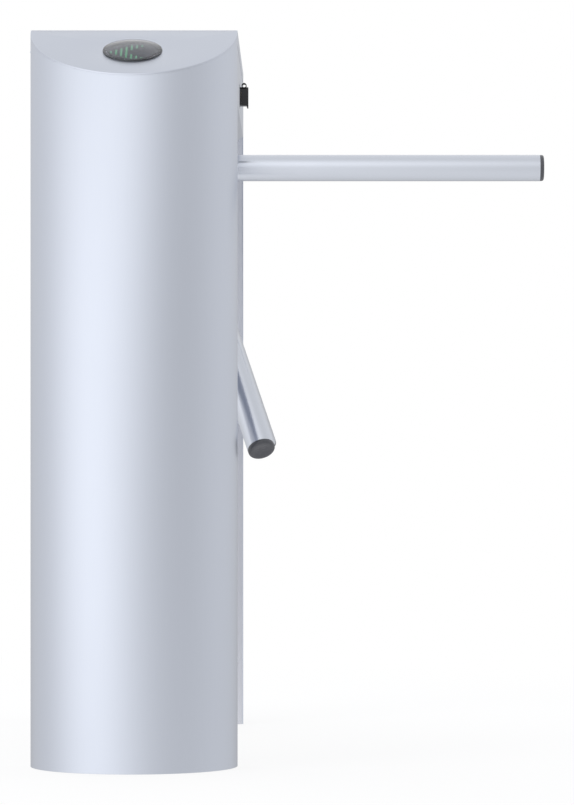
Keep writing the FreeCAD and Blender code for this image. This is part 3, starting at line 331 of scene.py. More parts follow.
def handling_group():
    """Faint cloudy marks left by hands and cleaning, as a mask."""
    name = "Handling Marks"
    if name in bpy.data.node_groups:
        return bpy.data.node_groups[name]
    group, given, made = new_group(
        name,
        [("Vector", "NodeSocketVector", (0, 0, 0)), ("Scale", "NodeSocketFloat", 9.0)],
        "Mask",
    )
    source = {"Vector": given["Vector"], "Scale": given["Scale"]}
    noise = add_node(group, "ShaderNodeTexNoise", source | MARKS_NOISE)
    wire(group, made, {"Mask": noise.outputs["Fac"]})
    return group


def finish(
    name, base, metallic, roughness, spread, fineness, bump, tone, marks, stretch=PLAIN_GRAIN, coat=0.0
):
    """A surface with grain in its height and tone, and handling marks in its roughness."""
    material = bpy.data.materials.new(name)
    material.use_nodes = True
    tree = material.node_tree
    place = tree.nodes.new("ShaderNodeTexCoord").outputs["Object"]
    streaks = {"Vector": place, "Stretch": stretch, "Fineness": fineness}
    grain = add_node(tree, "ShaderNodeGroup", streaks, node_tree=grain_group()).outputs["Height"]
    clouds = {"Vector": place, "Scale": marks}
    handling = add_node(tree, "ShaderNodeGroup", clouds, node_tree=handling_group())
    rough = add_node(tree, "ShaderNodeMapRange", {
        "Value": handling.outputs["Mask"],
        "To Min": max(0.0, roughness - spread),
        "To Max": roughness + spread,
    })
    tint = add_node(tree, "ShaderNodeMix", {
        "Factor": grain,
        "A": (*[c * (1 - tone) for c in base], 1),
        "B": (*[min(1.0, c * (1 + tone)) for c in base], 1),
    }, data_type="RGBA")
    relief = add_node(tree, "ShaderNodeBump", {"Height": grain, "Strength": bump, "Distance": GRAIN_DEPTH})
    wire(tree, tree.nodes["Principled BSDF"], {
        "Base Color": tint.outputs["Result"],
        "Metallic": metallic,
        "Roughness": rough.outputs["Result"],
        "Coat Weight": coat,
        "Normal": relief.outputs["Normal"],
    })
    return material


def make_finishes():
    """All finishes by slot, with a clear lens and glowing diodes."""
    made = {}
    for slot, (name, base, *values) in FINISHES.items():
        made[slot] = finish(name, getattr(colours(), base), *values)
    tree = made["lens_dark"].node_tree
    wire(tree, tree.nodes["Principled BSDF"], LENS_LOOK)
    tree = made["led_green"].node_tree
    shader = tree.nodes["Principled BSDF"]
    tint = shader.inputs["Base Color"].links[0].from_socket
    wire(tree, shader, {"Emission Color": tint, "Emission Strength": LED_STRENGTH})
    return made


def finish_of(slot):
    return bpy.data.materials[FINISH_NAMES[slot]]


FINISH_NAMES = {}
# Carried-over pieces whose finish differs from their slot's common one
OWN_FINISHES = {
    "box_lid": "satin_lid",
    # The inner panels take the lighter panel steel, a painted highlight on the same satin steel
    "front_inner_panel": "satin_panel",
    "rear_inner_panel": "satin_panel",
    "indicator_boards": "board_dark",
}


# Shapes


def face_out(bm):
    bmesh.ops.recalc_face_normals(bm, faces=bm.faces)


def verts_of(geom):
    return [item for item in geom if isinstance(item, bmesh.types.BMVert)]


def edges_of(geom):
    return [item for item in geom if isinstance(item, bmesh.types.BMEdge)]


def spun(profile, place, closed=True, steps=SPIN_STEPS):
    """A profile of (radius, height) points turned about the Z axis, then put in its place."""
    bm = bmesh.new()
    corners = [bm.verts.new((radius, 0, height)) for radius, height in profile]
    pairs = list(zip(corners, corners[1:]))
    if closed:
        pairs.append((corners[-1], corners[0]))
    edges = [bm.edges.new(pair) for pair in pairs if pair[0].co.x > 0 or pair[1].co.x > 0]
    bmesh.ops.spin(
        bm,
        geom=corners + edges,
        cent=(0, 0, 0),
        axis=(0, 0, 1),
        angle=math.tau,
        steps=steps,
        use_merge=True,
    )
    bmesh.ops.remove_doubles(bm, verts=bm.verts, dist=MERGE_DISTANCE)
    face_out(bm)
    bmesh.ops.transform(bm, matrix=place, verts=bm.verts)
    return bm


def rounded(points, radius, steps=4):
    """The same (radius, height) corners, with each one that is marked True eased by an arc."""
    eased = []
    count = len(points)
    for index, (x, z, *ease) in enumerate(points):
        here = Vector((x, z))
        if not ease:
            eased.append((x, z))
            continue
        before = Vector(points[index - 1][:2])
        after = Vector(points[(index + 1) % count][:2])
        start = here + (before - here).normalized() * radius
        end = here + (after - here).normalized() * radius
        for step in range(steps + 1):
            share = step / steps
            point = start.lerp(here, share).lerp(here.lerp(end, share), share)
            eased.append((point.x, point.y))
    return eased


def ring(bore, rim, start, end, place, ease=0.0):
    """A small ring from start to end along Z, with its outer corners eased, put in its place."""
    corners = [(bore, start), (rim, start), (rim, end), (bore, end)]
    if ease:
        corners = rounded([(*corner, True) if corner[0] == rim else corner for corner in corners], ease)
    return spun(corners, place, steps=SMALL_STEPS)


def bevelled(bm, edges, offset, segments=2):
    bmesh.ops.bevel(
        bm,
        geom=list(edges),
        offset=offset,
        segments=segments,
        profile=0.5,
        affect="EDGES",
        material=-1,
    )


def sharp_edges(bm, angle):
    return [edge for edge in bm.edges if len(edge.link_faces) == 2 and edge.calc_face_angle() > angle]


def add_box(bm, low, high):
    low = Vector(low)
    high = Vector(high)
    place = Matrix.Translation((low + high) / 2) @ Matrix.Diagonal((*(high - low), 1))
    return bmesh.ops.create_cube(bm, size=1, matrix=place)["verts"]


def rounded_box(low, high, radius, segments=3):
    bm = bmesh.new()
    add_box(bm, low, high)
    bevelled(bm, bm.edges, radius, segments)
    return bm


def joined(first, *others):
    """Adds the other bmeshes to the first as loose pieces."""
    for other in others:
        carried = bpy.data.meshes.new("carried")
        other.to_mesh(carried)
        other.free()
        first.from_mesh(carried)
        bpy.data.meshes.remove(carried)
    return first


def piece(name, bm, slot, body, node, look=None):
    """Makes the bmesh a smooth-shaded piece that rides on a body and stands for a CAD node."""
    mesh = bpy.data.meshes.new(name)
    bm.to_mesh(mesh)
    bm.free()
    mesh.polygons.foreach_set("use_smooth", [True] * len(mesh.polygons))
    mesh.set_sharp_from_angle(angle=SMOOTH_ANGLE)
    obj = bpy.data.objects.new(name, mesh)
    bpy.context.scene.collection.objects.link(obj)
    mesh.materials.append(finish_of(look or slot))
    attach(obj, body)
    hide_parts(node)


def along(start, direction):
    """A frame at start whose Z axis runs along direction."""
    turn = Vector((0, 0, 1)).rotation_difference(Vector(direction))
    return Matrix.Translation(start) @ turn.to_matrix().to_4x4()


def hub_frame():
    """The hub's own frame: its origin where the arms meet, Z into the box."""
    joint = JOINTS["rotor_turn"]
    inward = -Vector(joint["axis"]).normalized()
    side = Vector((0, 1, 0))
    turn = Matrix((side.cross(inward), side, inward)).transposed()
    return Matrix.Translation(joint["pos_m"]) @ turn.to_4x4()


def arm_direction(turn):
    angle = math.radians(turn)
    return Vector((SLANT * math.cos(angle), SLANT * math.sin(angle), -SLANT))


def top_slope():
    return sizes().top_drop / (NOSE_Y + HALF_WIDTH - INNER_Y)


def indicator_frame(end):
    angle = math.atan(top_slope())
    reach = sizes().indicator_from_ridge
    spot = Vector((0, end * (INNER_Y + reach * math.cos(angle)), RIDGE_Z - reach * math.sin(angle)))
    return Matrix.Translation(spot) @ Matrix.Rotation(-end * angle, 4, "X")


def d_outline(bm, end):
    """The column's plan as an open chain of edges: side, rounded nose, side."""
    near = bm.verts.new((HALF_WIDTH, end * INNER_Y, 0))
    shoulder = bm.verts.new((HALF_WIDTH, end * NOSE_Y, 0))
    bm.edges.new((near, shoulder))
    bmesh.ops.spin(
        bm,
        geom=[shoulder],
        cent=(0, end * NOSE_Y, 0),
        axis=(0, 0, 1),
        angle=end * math.pi,
        steps=SPIN_STEPS,
        use_merge=False,
    )
    last = min(bm.verts, key=lambda vert: (vert.co - Vector((-HALF_WIDTH, end * NOSE_Y, 0))).length)
    far = bm.verts.new((-HALF_WIDTH, end * INNER_Y, 0))
    bm.edges.new((last, far))
    return near, far


# Stage


# Where the camera stands, level and looking along +Y, and its focal length
CAMERA_PLACE = (0.2069, -6.4248, 0.4919)
CAMERA_LENS = 199.27
SENSOR_WIDTH = 36
CLIP_END = 100
FLOOR_RADIUS = 2.2
FLOOR_DROP = 0.0004
FLOOR_ROUGHNESS = 0.9
# The floor's share of white, and the shares of its radius where that starts and ends to grow to 1
FLOOR_WHITE = 0.86
FADE_START = 0.45
FADE_END = 0.95
WORLD_COLOUR = (0.95, 0.97, 1.0, 1)
WORLD_LIGHT = 0.72
# The studio's even level, and its glows: turn from the camera's side towards +X, rise, sharpness, strength
STUDIO_LEVEL = 0.64
GLOWS = (
    (-46, 0, 5.2, 0.76),
    (-130, 0, 12.0, 0.07),
    (106, 0, 9.0, 0.15),
    (180, 58, 3.1, 0.29),
    (180, 20, 60.0, 0.28),
    (180, -8, 22.0, -0.33),
    (0, 37, 17.0, 0.42),
    (0, -75, 3.0, 0.27),
)
# Name, place, aim, width, height and power of each lamp
LAMPS = (
    ("Left Softbox", (-3.6, -3.4, 1.6), (0, 0, 0.55), 2.6, 4.2, 95),
    ("Top Softbox", (-0.4, 0.8, 4.2), (0, 0, 0.6), 3.4, 3.4, 80),
    ("Right Fill", (4.4, 0.6, 1.4), (0, 0, 0.6), 1.6, 3.6, 30),
)


def seen_rays(tree):
    """1 for the rays that show a surface as it is: from the camera, a shiny surface or glass."""
    path = tree.nodes.new("ShaderNodeLightPath")
    total = path.outputs["Is Camera Ray"]
    for ray in ("Is Glossy Ray", "Is Transmission Ray"):
        both = add_node(tree, "ShaderNodeMath", {0: total, 1: path.outputs[ray]}, operation="MAXIMUM")
        total = both.outputs["Value"]
    return total


# Operators


class TURNSTILE_OT_carried(bpy.types.Operator):
    """Gives every carried-over piece of the frame its finish"""

    bl_idname = "turnstile.carried"
    bl_label = "Finish Carried Pieces"

    def execute(self, context):
        for slot, material in make_finishes().items():
            FINISH_NAMES[slot] = material.name
        slots = {entry["node"]: entry["material_slot"] for entry in frame["record"]["subparts"]}
        for name, node in frame["nodes"].items():
            node.data.materials.clear()
            node.data.materials.append(finish_of(OWN_FINISHES.get(name, slots[name])))
        return {"FINISHED"}


class TURNSTILE_OT_columns(bpy.types.Operator):
    """Models the folded shells of the two columns"""

    bl_idname = "turnstile.columns"
    bl_label = "Column Shells"

    def execute(self, context):
        size = sizes()
        slope = top_slope()
        upright = size.top_sheet / math.cos(math.atan(slope)) + size.top_seam
        for name, end in ENDS:
            bm = bmesh.new()
            d_outline(bm, end)
            raised = bmesh.ops.extrude_edge_only(bm, edges=bm.edges)["geom"]
            bmesh.ops.translate(bm, vec=(0, 0, RIDGE_Z), verts=verts_of(raised))
            bmesh.ops.bisect_plane(
                bm,
                geom=bm.verts[:] + bm.edges[:] + bm.faces[:],
                plane_co=(0, end * INNER_Y, RIDGE_Z - upright),
                plane_no=(0, end * slope, 1),
                clear_outer=True,
            )
            face_out(bm)
            middle = Vector((0, end * NOSE_Y, 0))
            face = bm.faces[:][0]
            flat = Vector((face.normal.x, face.normal.y, 0))
            if flat.dot(face.calc_center_median() - middle) < 0:
                bmesh.ops.reverse_faces(bm, faces=bm.faces)
            bmesh.ops.solidify(bm, geom=bm.faces, thickness=size.column_wall)
            face_out(bm)
            bevelled(bm, sharp_edges(bm, COLUMN_RIM_ANGLE), size.edge / 3)
            piece(name + "_shell", bm, "satin_steel", "cabinet", name + "_column_shell")
        return {"FINISHED"}


class TURNSTILE_OT_tops(bpy.types.Operator):
    """Models the sloping top plates"""

    bl_idname = "turnstile.tops"
    bl_label = "Top Plates"

    def execute(self, context):
        size = sizes()
        slope = top_slope()
        angle = math.atan(slope)
        reach = size.indicator_from_ridge * math.cos(angle)
        for name, end in ENDS:
            bm = bmesh.new()
            near, far = d_outline(bm, end)
            bm.edges.new((near, far))
            spot = Matrix.Translation((0, end * (INNER_Y + reach), 0))
            hole = spot @ Matrix.Diagonal((1, math.cos(angle), 1, 1))
            bmesh.ops.create_circle(bm, segments=SPIN_STEPS, radius=size.sleeve / 2 + size.fit, matrix=hole)
            bmesh.ops.triangle_fill(bm, edges=bm.edges, use_beauty=True)
            shear = Matrix.Identity(4)
            shear[2][1] = -end * slope
            shear[2][3] = RIDGE_Z + INNER_Y * slope
            bmesh.ops.transform(bm, matrix=shear, verts=bm.verts)
            upright = size.top_sheet / math.cos(angle)
            under = bmesh.ops.extrude_face_region(bm, geom=bm.faces)["geom"]
            bmesh.ops.translate(bm, vec=(0, 0, -upright), verts=verts_of(under))
            face_out(bm)
            rim = []
            for edge in sharp_edges(bm, TOP_RIM_ANGLE):
                fall = [RIDGE_Z - (abs(vert.co.y) - INNER_Y) * slope - vert.co.z for vert in edge.verts]
                if max(fall) < upright / 2:
                    rim.append(edge)
            bevelled(bm, rim, size.edge / 2, 3)
            piece(name + "_top", bm, "satin_steel", "cabinet", name + "_top_plate", look="satin_lid")
        return {"FINISHED"}


class TURNSTILE_OT_indicators(bpy.types.Operator):
    """Models the bezels and domed lenses of the indicators"""

    bl_idname = "turnstile.indicators"
    bl_label = "Indicators"

    def execute(self, context):
        size = sizes()
        rim = size.bezel / 2
        sleeve = size.sleeve / 2
        seat = size.lens / 2
        bore = seat - size.lens_seat
        lip = seat + size.lens_lip
        under = size.bezel_proud + size.fit
        edge = under + size.lens_edge
        bezels = []
        lenses = []
        for _, end in ENDS:
            place = indicator_frame(end)
            profile = rounded([
                (rim, 0),
                (rim, size.bezel_proud, True),
                (seat + size.fit, size.bezel_proud, True),
                (seat + size.fit, -size.lens_depth),
                (bore, -size.lens_depth),
                (bore, -size.sleeve_depth),
                (sleeve, -size.sleeve_depth),
                (sleeve, 0),
            ], size.bezel_round)
            bezels.append(spun(profile, place))
            inside = self.dome(lip, bore / lip, edge - size.lens_wall)
            outside = self.dome(lip, 1, edge)
            foot = [(bore, -size.lens_depth), (seat, -size.lens_depth), (seat, under), (lip, under)]
            lenses.append(spun(inside[::-1] + foot + outside, place, closed=False))
        piece("bezels", joined(*bezels), "bezel_dark", "cabinet", "indicator_bezels")
        piece("lenses", joined(*lenses), "lens_dark", "cabinet", "indicator_lenses")
        return {"FINISHED"}

    def dome(self, radius, reach, height):
        """Points up one face of the lens's dome, from a share of its radius to its middle."""
        points = []
        for step in range(DOME_STEPS + 1):
            share = reach * (1 - step / DOME_STEPS)
            points.append((radius * share, height + sizes().lens_rise * (1 - share * share)))
        return points


class TURNSTILE_OT_arrows(bpy.types.Operator):
    """Models the diodes of the indicators' arrows, lit and unlit"""

    bl_idname = "turnstile.arrows"
    bl_label = "Arrows"

    def execute(self, context):
        lit = []
        unlit = []
        for _, end in ENDS:
            for column in range(LED_COLUMNS):
                reach = min(column, LED_ROWS)
                for row in range(-reach, reach + 1):
                    inward = column - abs(row)
                    if column <= LIT_COLUMN or inward < LIT_BAND:
                        lit.append(self.diode(end, column, row))
                    elif inward < LED_BAND:
                        unlit.append(self.diode(end, column, row))
        piece("arrow_leds", joined(*lit), "led_green", "cabinet", "indicator_leds")
        piece("spare_leds", joined(*unlit), "led_green", "cabinet", "indicator_leds", look="led_off")
        return {"FINISHED"}

    def diode(self, end, column, row):
        size = sizes()
        low = Vector((column * size.led_column - size.arrow_tip - size.led_length / 2, 0, -size.led_low))
        low.y = row * size.led_row - size.led_width / 2
        high = low + Vector((size.led_length, size.led_width, size.led_height))
        bm = rounded_box(low, high, size.led_round, 2)
        bmesh.ops.transform(bm, matrix=indicator_frame(end), verts=bm.verts)
        return bm


class TURNSTILE_OT_arms(bpy.types.Operator):
    """Models the three arm tubes and their end caps"""

    bl_idname = "turnstile.arms"
    bl_label = "Arms"

    def execute(self, context):
        size = sizes()
        hub = hub_frame()
        radius = ARM_RADIUS
        inner = radius - size.arm_wall
        end = ARM_HIGH.x - hub.translation.x
        tip = TIP_X - hub.translation.x
        start = size.arm_start
        caps = []
        for name, turn in ARM_NODES:
            place = hub @ along((0, 0, 0), arm_direction(turn))
            wall = rounded([
                (inner, start),
                (radius, start),
                (radius, end, True),
                (inner, end),
            ], size.edge / 2, 2)
            piece(name.replace("arm_tube", "tube"), spun(wall, place), "arm_steel", "rotor", name)
            rim = radius - size.cap_rim
            head = rounded([
                (0, end - size.cap_plug),
                (inner - size.fit, end - size.cap_plug),
                (inner - size.fit, end + size.fit),
                (radius - size.fit, end + size.fit),
                (radius, tip, True),
                (rim, tip),
            ], size.cap_edge, ROUND_STEPS)
            for step in range(1, DISH_STEPS + 1):
                share = 1 - step / DISH_STEPS
                head.append((rim * share, tip - size.cap_dish * (1 - share * share)))
            caps.append(spun(head, place, closed=False))
        piece("arm_caps", joined(*caps), "cap_plastic", "rotor", "arm_end_caps")
        return {"FINISHED"}


class TURNSTILE_OT_hub(bpy.types.Operator):
    """Models the hub head with its arm collars and nose cap"""

    bl_idname = "turnstile.hub"
    bl_label = "Hub"

    def execute(self, context):
        size = sizes()
        place = hub_frame()
        back = -size.hub_back
        shoulder = back - size.hub_side
        front = shoulder - (size.hub_radius - size.hub_nose)
        head = spun(rounded([
            (size.hub_bore, back),
            (size.hub_radius, back, True),
            (size.hub_radius, shoulder, True),
            (size.hub_nose, front, True),
            (size.nose_cap + size.fit, front),
            (size.nose_cap + size.fit, front + size.nose_seat),
            (size.hub_bore, front + size.nose_seat),
        ], size.hub_round, ROUND_STEPS), place)
        bore = ARM_RADIUS + size.fit
        rim = ARM_RADIUS + size.collar_wall
        exit_reach = (size.hub_radius - shoulder) * SLANT
        collars = []
        for _, turn in ARM_NODES:
            seat = place @ along((0, 0, 0), arm_direction(turn))
            collars.append(spun(rounded([
                (bore, exit_reach - size.collar_root),
                (rim, exit_reach - size.collar_root),
                (rim, exit_reach + size.collar, True),
                (bore, exit_reach + size.collar, True),
            ], size.collar / 2), seat))
        piece("hub", joined(head, *collars), "cast_alloy", "rotor", "hub_head")
        nose = spun(rounded([
            (0, front + size.nose_height),
            (size.nose_cap - size.fit, front + size.nose_height),
            (size.nose_cap - size.fit, front + size.fit, True),
            (0, front),
        ], size.nose_round), place, closed=False)
        piece("hub_nose", nose, "cap_plastic", "rotor", "hub_cap")
        return {"FINISHED"}


class TURNSTILE_OT_lock(bpy.types.Operator):
    """Models the lock's plate, barrel and ears, its dust cover with the hinge eye, and the hollow pin"""

    bl_idname = "turnstile.lock"
    bl_label = "Lock"

    def execute(self, context):
        self.model_body()
        self.model_cover()
        return {"FINISHED"}

    def model_body(self):
        """The plate with the barrel behind it, and the two ears that hold the pin."""
        size = sizes()
        half = (LOCK_HIGH.y - LOCK_LOW.y) / 2
        middle = Vector((HALF_WIDTH, LOCK_LOW.y + half, LOCK_LOW.z + half))
        top = PIN_AXIS.z - size.cover_shoulder
        outward = Matrix.Translation(middle) @ Matrix(((0, 0, 1), (1, 0, 0), (0, 1, 0))).to_4x4()
        bm = bmesh.new()
        spread = Matrix.Diagonal((half, (top - LOCK_LOW.z) / 2, 1, 1))
        sheet = Matrix.Translation((0, (top - half - middle.z) / 2, 0)) @ spread
        bmesh.ops.create_grid(bm, x_segments=1, y_segments=1, size=1, matrix=sheet)
        bmesh.ops.delete(bm, geom=bm.faces, context="FACES_ONLY")
        bmesh.ops.create_circle(bm, segments=SMALL_STEPS, radius=size.lock_bore / 2)
        bmesh.ops.triangle_fill(bm, edges=bm.edges, use_beauty=True)
        front = bmesh.ops.extrude_face_region(bm, geom=bm.faces)["geom"]
        bmesh.ops.translate(bm, vec=(0, 0, size.lock_sheet), verts=verts_of(front))
        face_out(bm)
        bmesh.ops.transform(bm, matrix=outward, verts=bm.verts)
        depth = HALF_WIDTH - LOCK_LOW.x
        bore = size.lock_bore / 2 + size.fit
        parts = [ring(bore, size.lock_barrel / 2, -depth, size.fit, outward)]
        for start in (LOCK_LOW.y, LOCK_HIGH.y - size.lock_ear):
            place = along((PIN_AXIS.x, start, PIN_AXIS.z), (0, 1, 0))
            parts.append(ring(PIN_RADIUS + size.fit, size.cover_eye / 2, 0, size.lock_ear, place, size.fit))
            web_low = (HALF_WIDTH + size.fit, start, top - size.lock_web)
            web_high = (PIN_AXIS.x - size.shoulder_gap, start + size.lock_ear, top)
            parts.append(rounded_box(web_low, web_high, size.fit))
        piece("lock_plate", joined(bm, *parts), "lock_black", "cabinet", "lock_body")

    def model_cover(self):
        """The hollow cover with its lip, shoulders and hinge eye, and the pin."""
        size = sizes()
        eye = size.cover_eye / 2
        low = Vector((HALF_WIDTH + size.cover_back, COVER_LOW.y, COVER_LOW.z + size.cover_lip))
        high = Vector((COVER_HIGH.x, COVER_HIGH.y, PIN_AXIS.z - eye - size.edge))
        bm = bmesh.new()
        add_box(bm, low, high)
        outside = [edge for edge in bm.edges if max(vert.co.x for vert in edge.verts) > low.x + size.edge]
        bevelled(bm, outside, size.cover_round, 4)
        back = min(bm.faces, key=lambda face: face.calc_center_median().x)
        bmesh.ops.inset_region(bm, faces=[back], thickness=size.cover_wall)
        floor = bmesh.ops.extrude_discrete_faces(bm, faces=[back])["faces"][0]
        bmesh.ops.translate(bm, vec=(high.x - low.x - size.cover_wall, 0, 0), verts=floor.verts)
        face_out(bm)
        lip_low = (high.x - size.cover_wall, low.y, COVER_LOW.z)
        lip = rounded_box(lip_low, (high.x, high.y, low.z + size.cover_wall), size.cover_round / 2)
        web_low = (PIN_AXIS.x - eye / 2, low.y + size.cover_ear, high.z - size.cover_wall)
        web_high = (PIN_AXIS.x + eye, high.y - size.cover_ear, PIN_AXIS.z - size.pin_bore / 2 - size.edge)
        parts = [lip, rounded_box(web_low, web_high, size.cover_round / 4)]
        shoulder = PIN_AXIS.z - size.cover_shoulder
        spans = ((low.x, PIN_AXIS.x - size.shoulder_gap), (PIN_AXIS.x + size.shoulder_gap, high.x))
        for start, end in spans:
            shoulder_low = (start, low.y + size.cover_ear, high.z - size.cover_wall)
            shoulder_high = (end, high.y - size.cover_ear, shoulder)
            parts.append(rounded_box(shoulder_low, shoulder_high, size.cover_round / 4))
        reach = COVER_HIGH.y - COVER_LOW.y
        place = along((PIN_AXIS.x, COVER_LOW.y, PIN_AXIS.z), (0, 1, 0))
        parts.append(
            ring(PIN_RADIUS + size.fit, eye, size.cover_ear, reach - size.cover_ear, place, size.fit)
        )
        piece("cover", joined(bm, *parts), "lock_black", "dust_cover", "dust_cover")
        tube = ring(size.pin_bore / 2, PIN_RADIUS, 0, reach, place)
        piece("cover_pin", tube, "lock_black", "cabinet", "dust_cover_pin")


class TURNSTILE_OT_screws(bpy.types.Operator):
    """Models the domed socket screws of the inner panels"""

    bl_idname = "turnstile.screws"
    bl_label = "Panel Screws"

    def execute(self, context):
        size = sizes()
        radius = size.screw_head / 2
        step = (SCREW_HIGH.z - SCREW_LOW.z - size.screw_head) / (SCREW_ROWS - 1)
        heights = [SCREW_LOW.z + radius + step * row for row in range(SCREW_ROWS)]
        heads = []
        for _, end in ENDS:
            for side in (SCREW_LOW.x + radius, SCREW_HIGH.x - radius):
                for height in heights:
                    heads.append(self.head(along((side, end * INNER_Y, height), (0, -end, 0))))
        piece("screw_heads", joined(*heads), "zinc_steel", "cabinet", "panel_screws")
        return {"FINISHED"}

    def head(self, place):
        """One domed head, sunk by a hexagonal socket."""
        size = sizes()
        radius = size.screw_head / 2
        bm = bmesh.new()
        bmesh.ops.create_circle(bm, segments=SMALL_STEPS, radius=radius)
        rim = bm.edges[:]
        bmesh.ops.contextual_create(bm, geom=rim)
        for share, rise in SCREW_DOME:
            grown = bmesh.ops.extrude_edge_only(bm, edges=rim)["geom"]
            rim = edges_of(grown)
            for vert in verts_of(grown):
                flat = Vector((vert.co.x, vert.co.y)).normalized() * radius * share
                vert.co = (flat.x, flat.y, rise * size.screw_height)
        corner = size.screw_socket / math.sqrt(3)
        lift = Matrix.Translation((0, 0, size.screw_height))
        socket = bmesh.ops.create_circle(bm, segments=6, radius=corner, matrix=lift)["verts"]
        mouth = list({edge for vert in socket for edge in vert.link_edges})
        bmesh.ops.bridge_loops(bm, edges=rim + mouth)
        sunk = bmesh.ops.extrude_edge_only(bm, edges=mouth)["geom"]
        bmesh.ops.translate(bm, vec=(0, 0, -size.screw_height * SOCKET_DEPTH), verts=verts_of(sunk))
        bmesh.ops.contextual_create(bm, geom=edges_of(sunk))
        face_out(bm)
        bmesh.ops.transform(bm, matrix=place, verts=bm.verts)
        return bm


class TURNSTILE_OT_board(bpy.types.Operator):
    """Models the control board with its chips, capacitors and terminals"""

    bl_idname = "turnstile.board"
    bl_label = "Control Board"

    def execute(self, context):
        size = sizes()
        top = BOARD_LOW.z + size.board_sheet
        slab = rounded_box(BOARD_LOW, (BOARD_HIGH.x, BOARD_HIGH.y, top), size.board_round)
        piece("board", slab, "board_green", "cabinet", "control_board")
        chips = [self.chip(*MAIN_CHIP, size.chip, size.chip, size.chip_height)]
        for across, along_board, width, reach in DRIVERS:
            chips.append(self.chip(across, along_board, width, reach, size.driver_height))
        piece("board_chips", joined(*chips), "board_green", "cabinet", "control_board", look="cap_plastic")
        cans = []
        for across, along_board in CANS:
            place = Matrix.Translation(self.spot(across, along_board))
            profile = rounded([
                (0, 0),
                (size.can_radius, 0),
                (size.can_radius, size.can_height, True),
                (0, size.can_height),
            ], size.board_round * 2)
            cans.append(spun(profile, place, closed=False, steps=SMALL_STEPS))
        piece("board_cans", joined(*cans), "board_green", "cabinet", "control_board", look="supply_case")
        step = (BOARD_HIGH.y - BOARD_LOW.y - 2 * size.board_margin) / TERMINALS
        blocks = []
        for index in range(TERMINALS):
            start = BOARD_LOW.y + size.board_margin + index * step
            low = (BOARD_HIGH.x - size.terminal_depth, start, top)
            high = (BOARD_HIGH.x, start + step - size.terminal_gap, BOARD_HIGH.z)
            blocks.append(self.terminal(low, high))
        piece("board_terminals", joined(*blocks), "board_green", "cabinet", "control_board", look="terminal")
        return {"FINISHED"}

    def spot(self, across, along_board):
        """A point on the board's upper face, given as shares of its width and length."""
        reach = BOARD_HIGH - BOARD_LOW
        return BOARD_LOW + Vector((reach.x * across, reach.y * along_board, sizes().board_sheet))

    def chip(self, across, along_board, width, reach, height):
        low = self.spot(across, along_board) - Vector((width / 2, reach / 2, 0))
        return rounded_box(low, low + Vector((width, reach, height)), sizes().board_round)

    def terminal(self, low, high):
        """One block with a well in its upper face."""
        size = sizes()
        bm = rounded_box(low, high, size.board_round)
        upper = max(bm.faces, key=lambda face: face.calc_center_median().z)
        bmesh.ops.inset_region(bm, faces=[upper], thickness=size.terminal_wall)
        well = bmesh.ops.extrude_discrete_faces(bm, faces=[upper])["faces"][0]
        bmesh.ops.translate(bm, vec=(0, 0, -size.terminal_well), verts=well.verts)
        face_out(bm)
        return bm


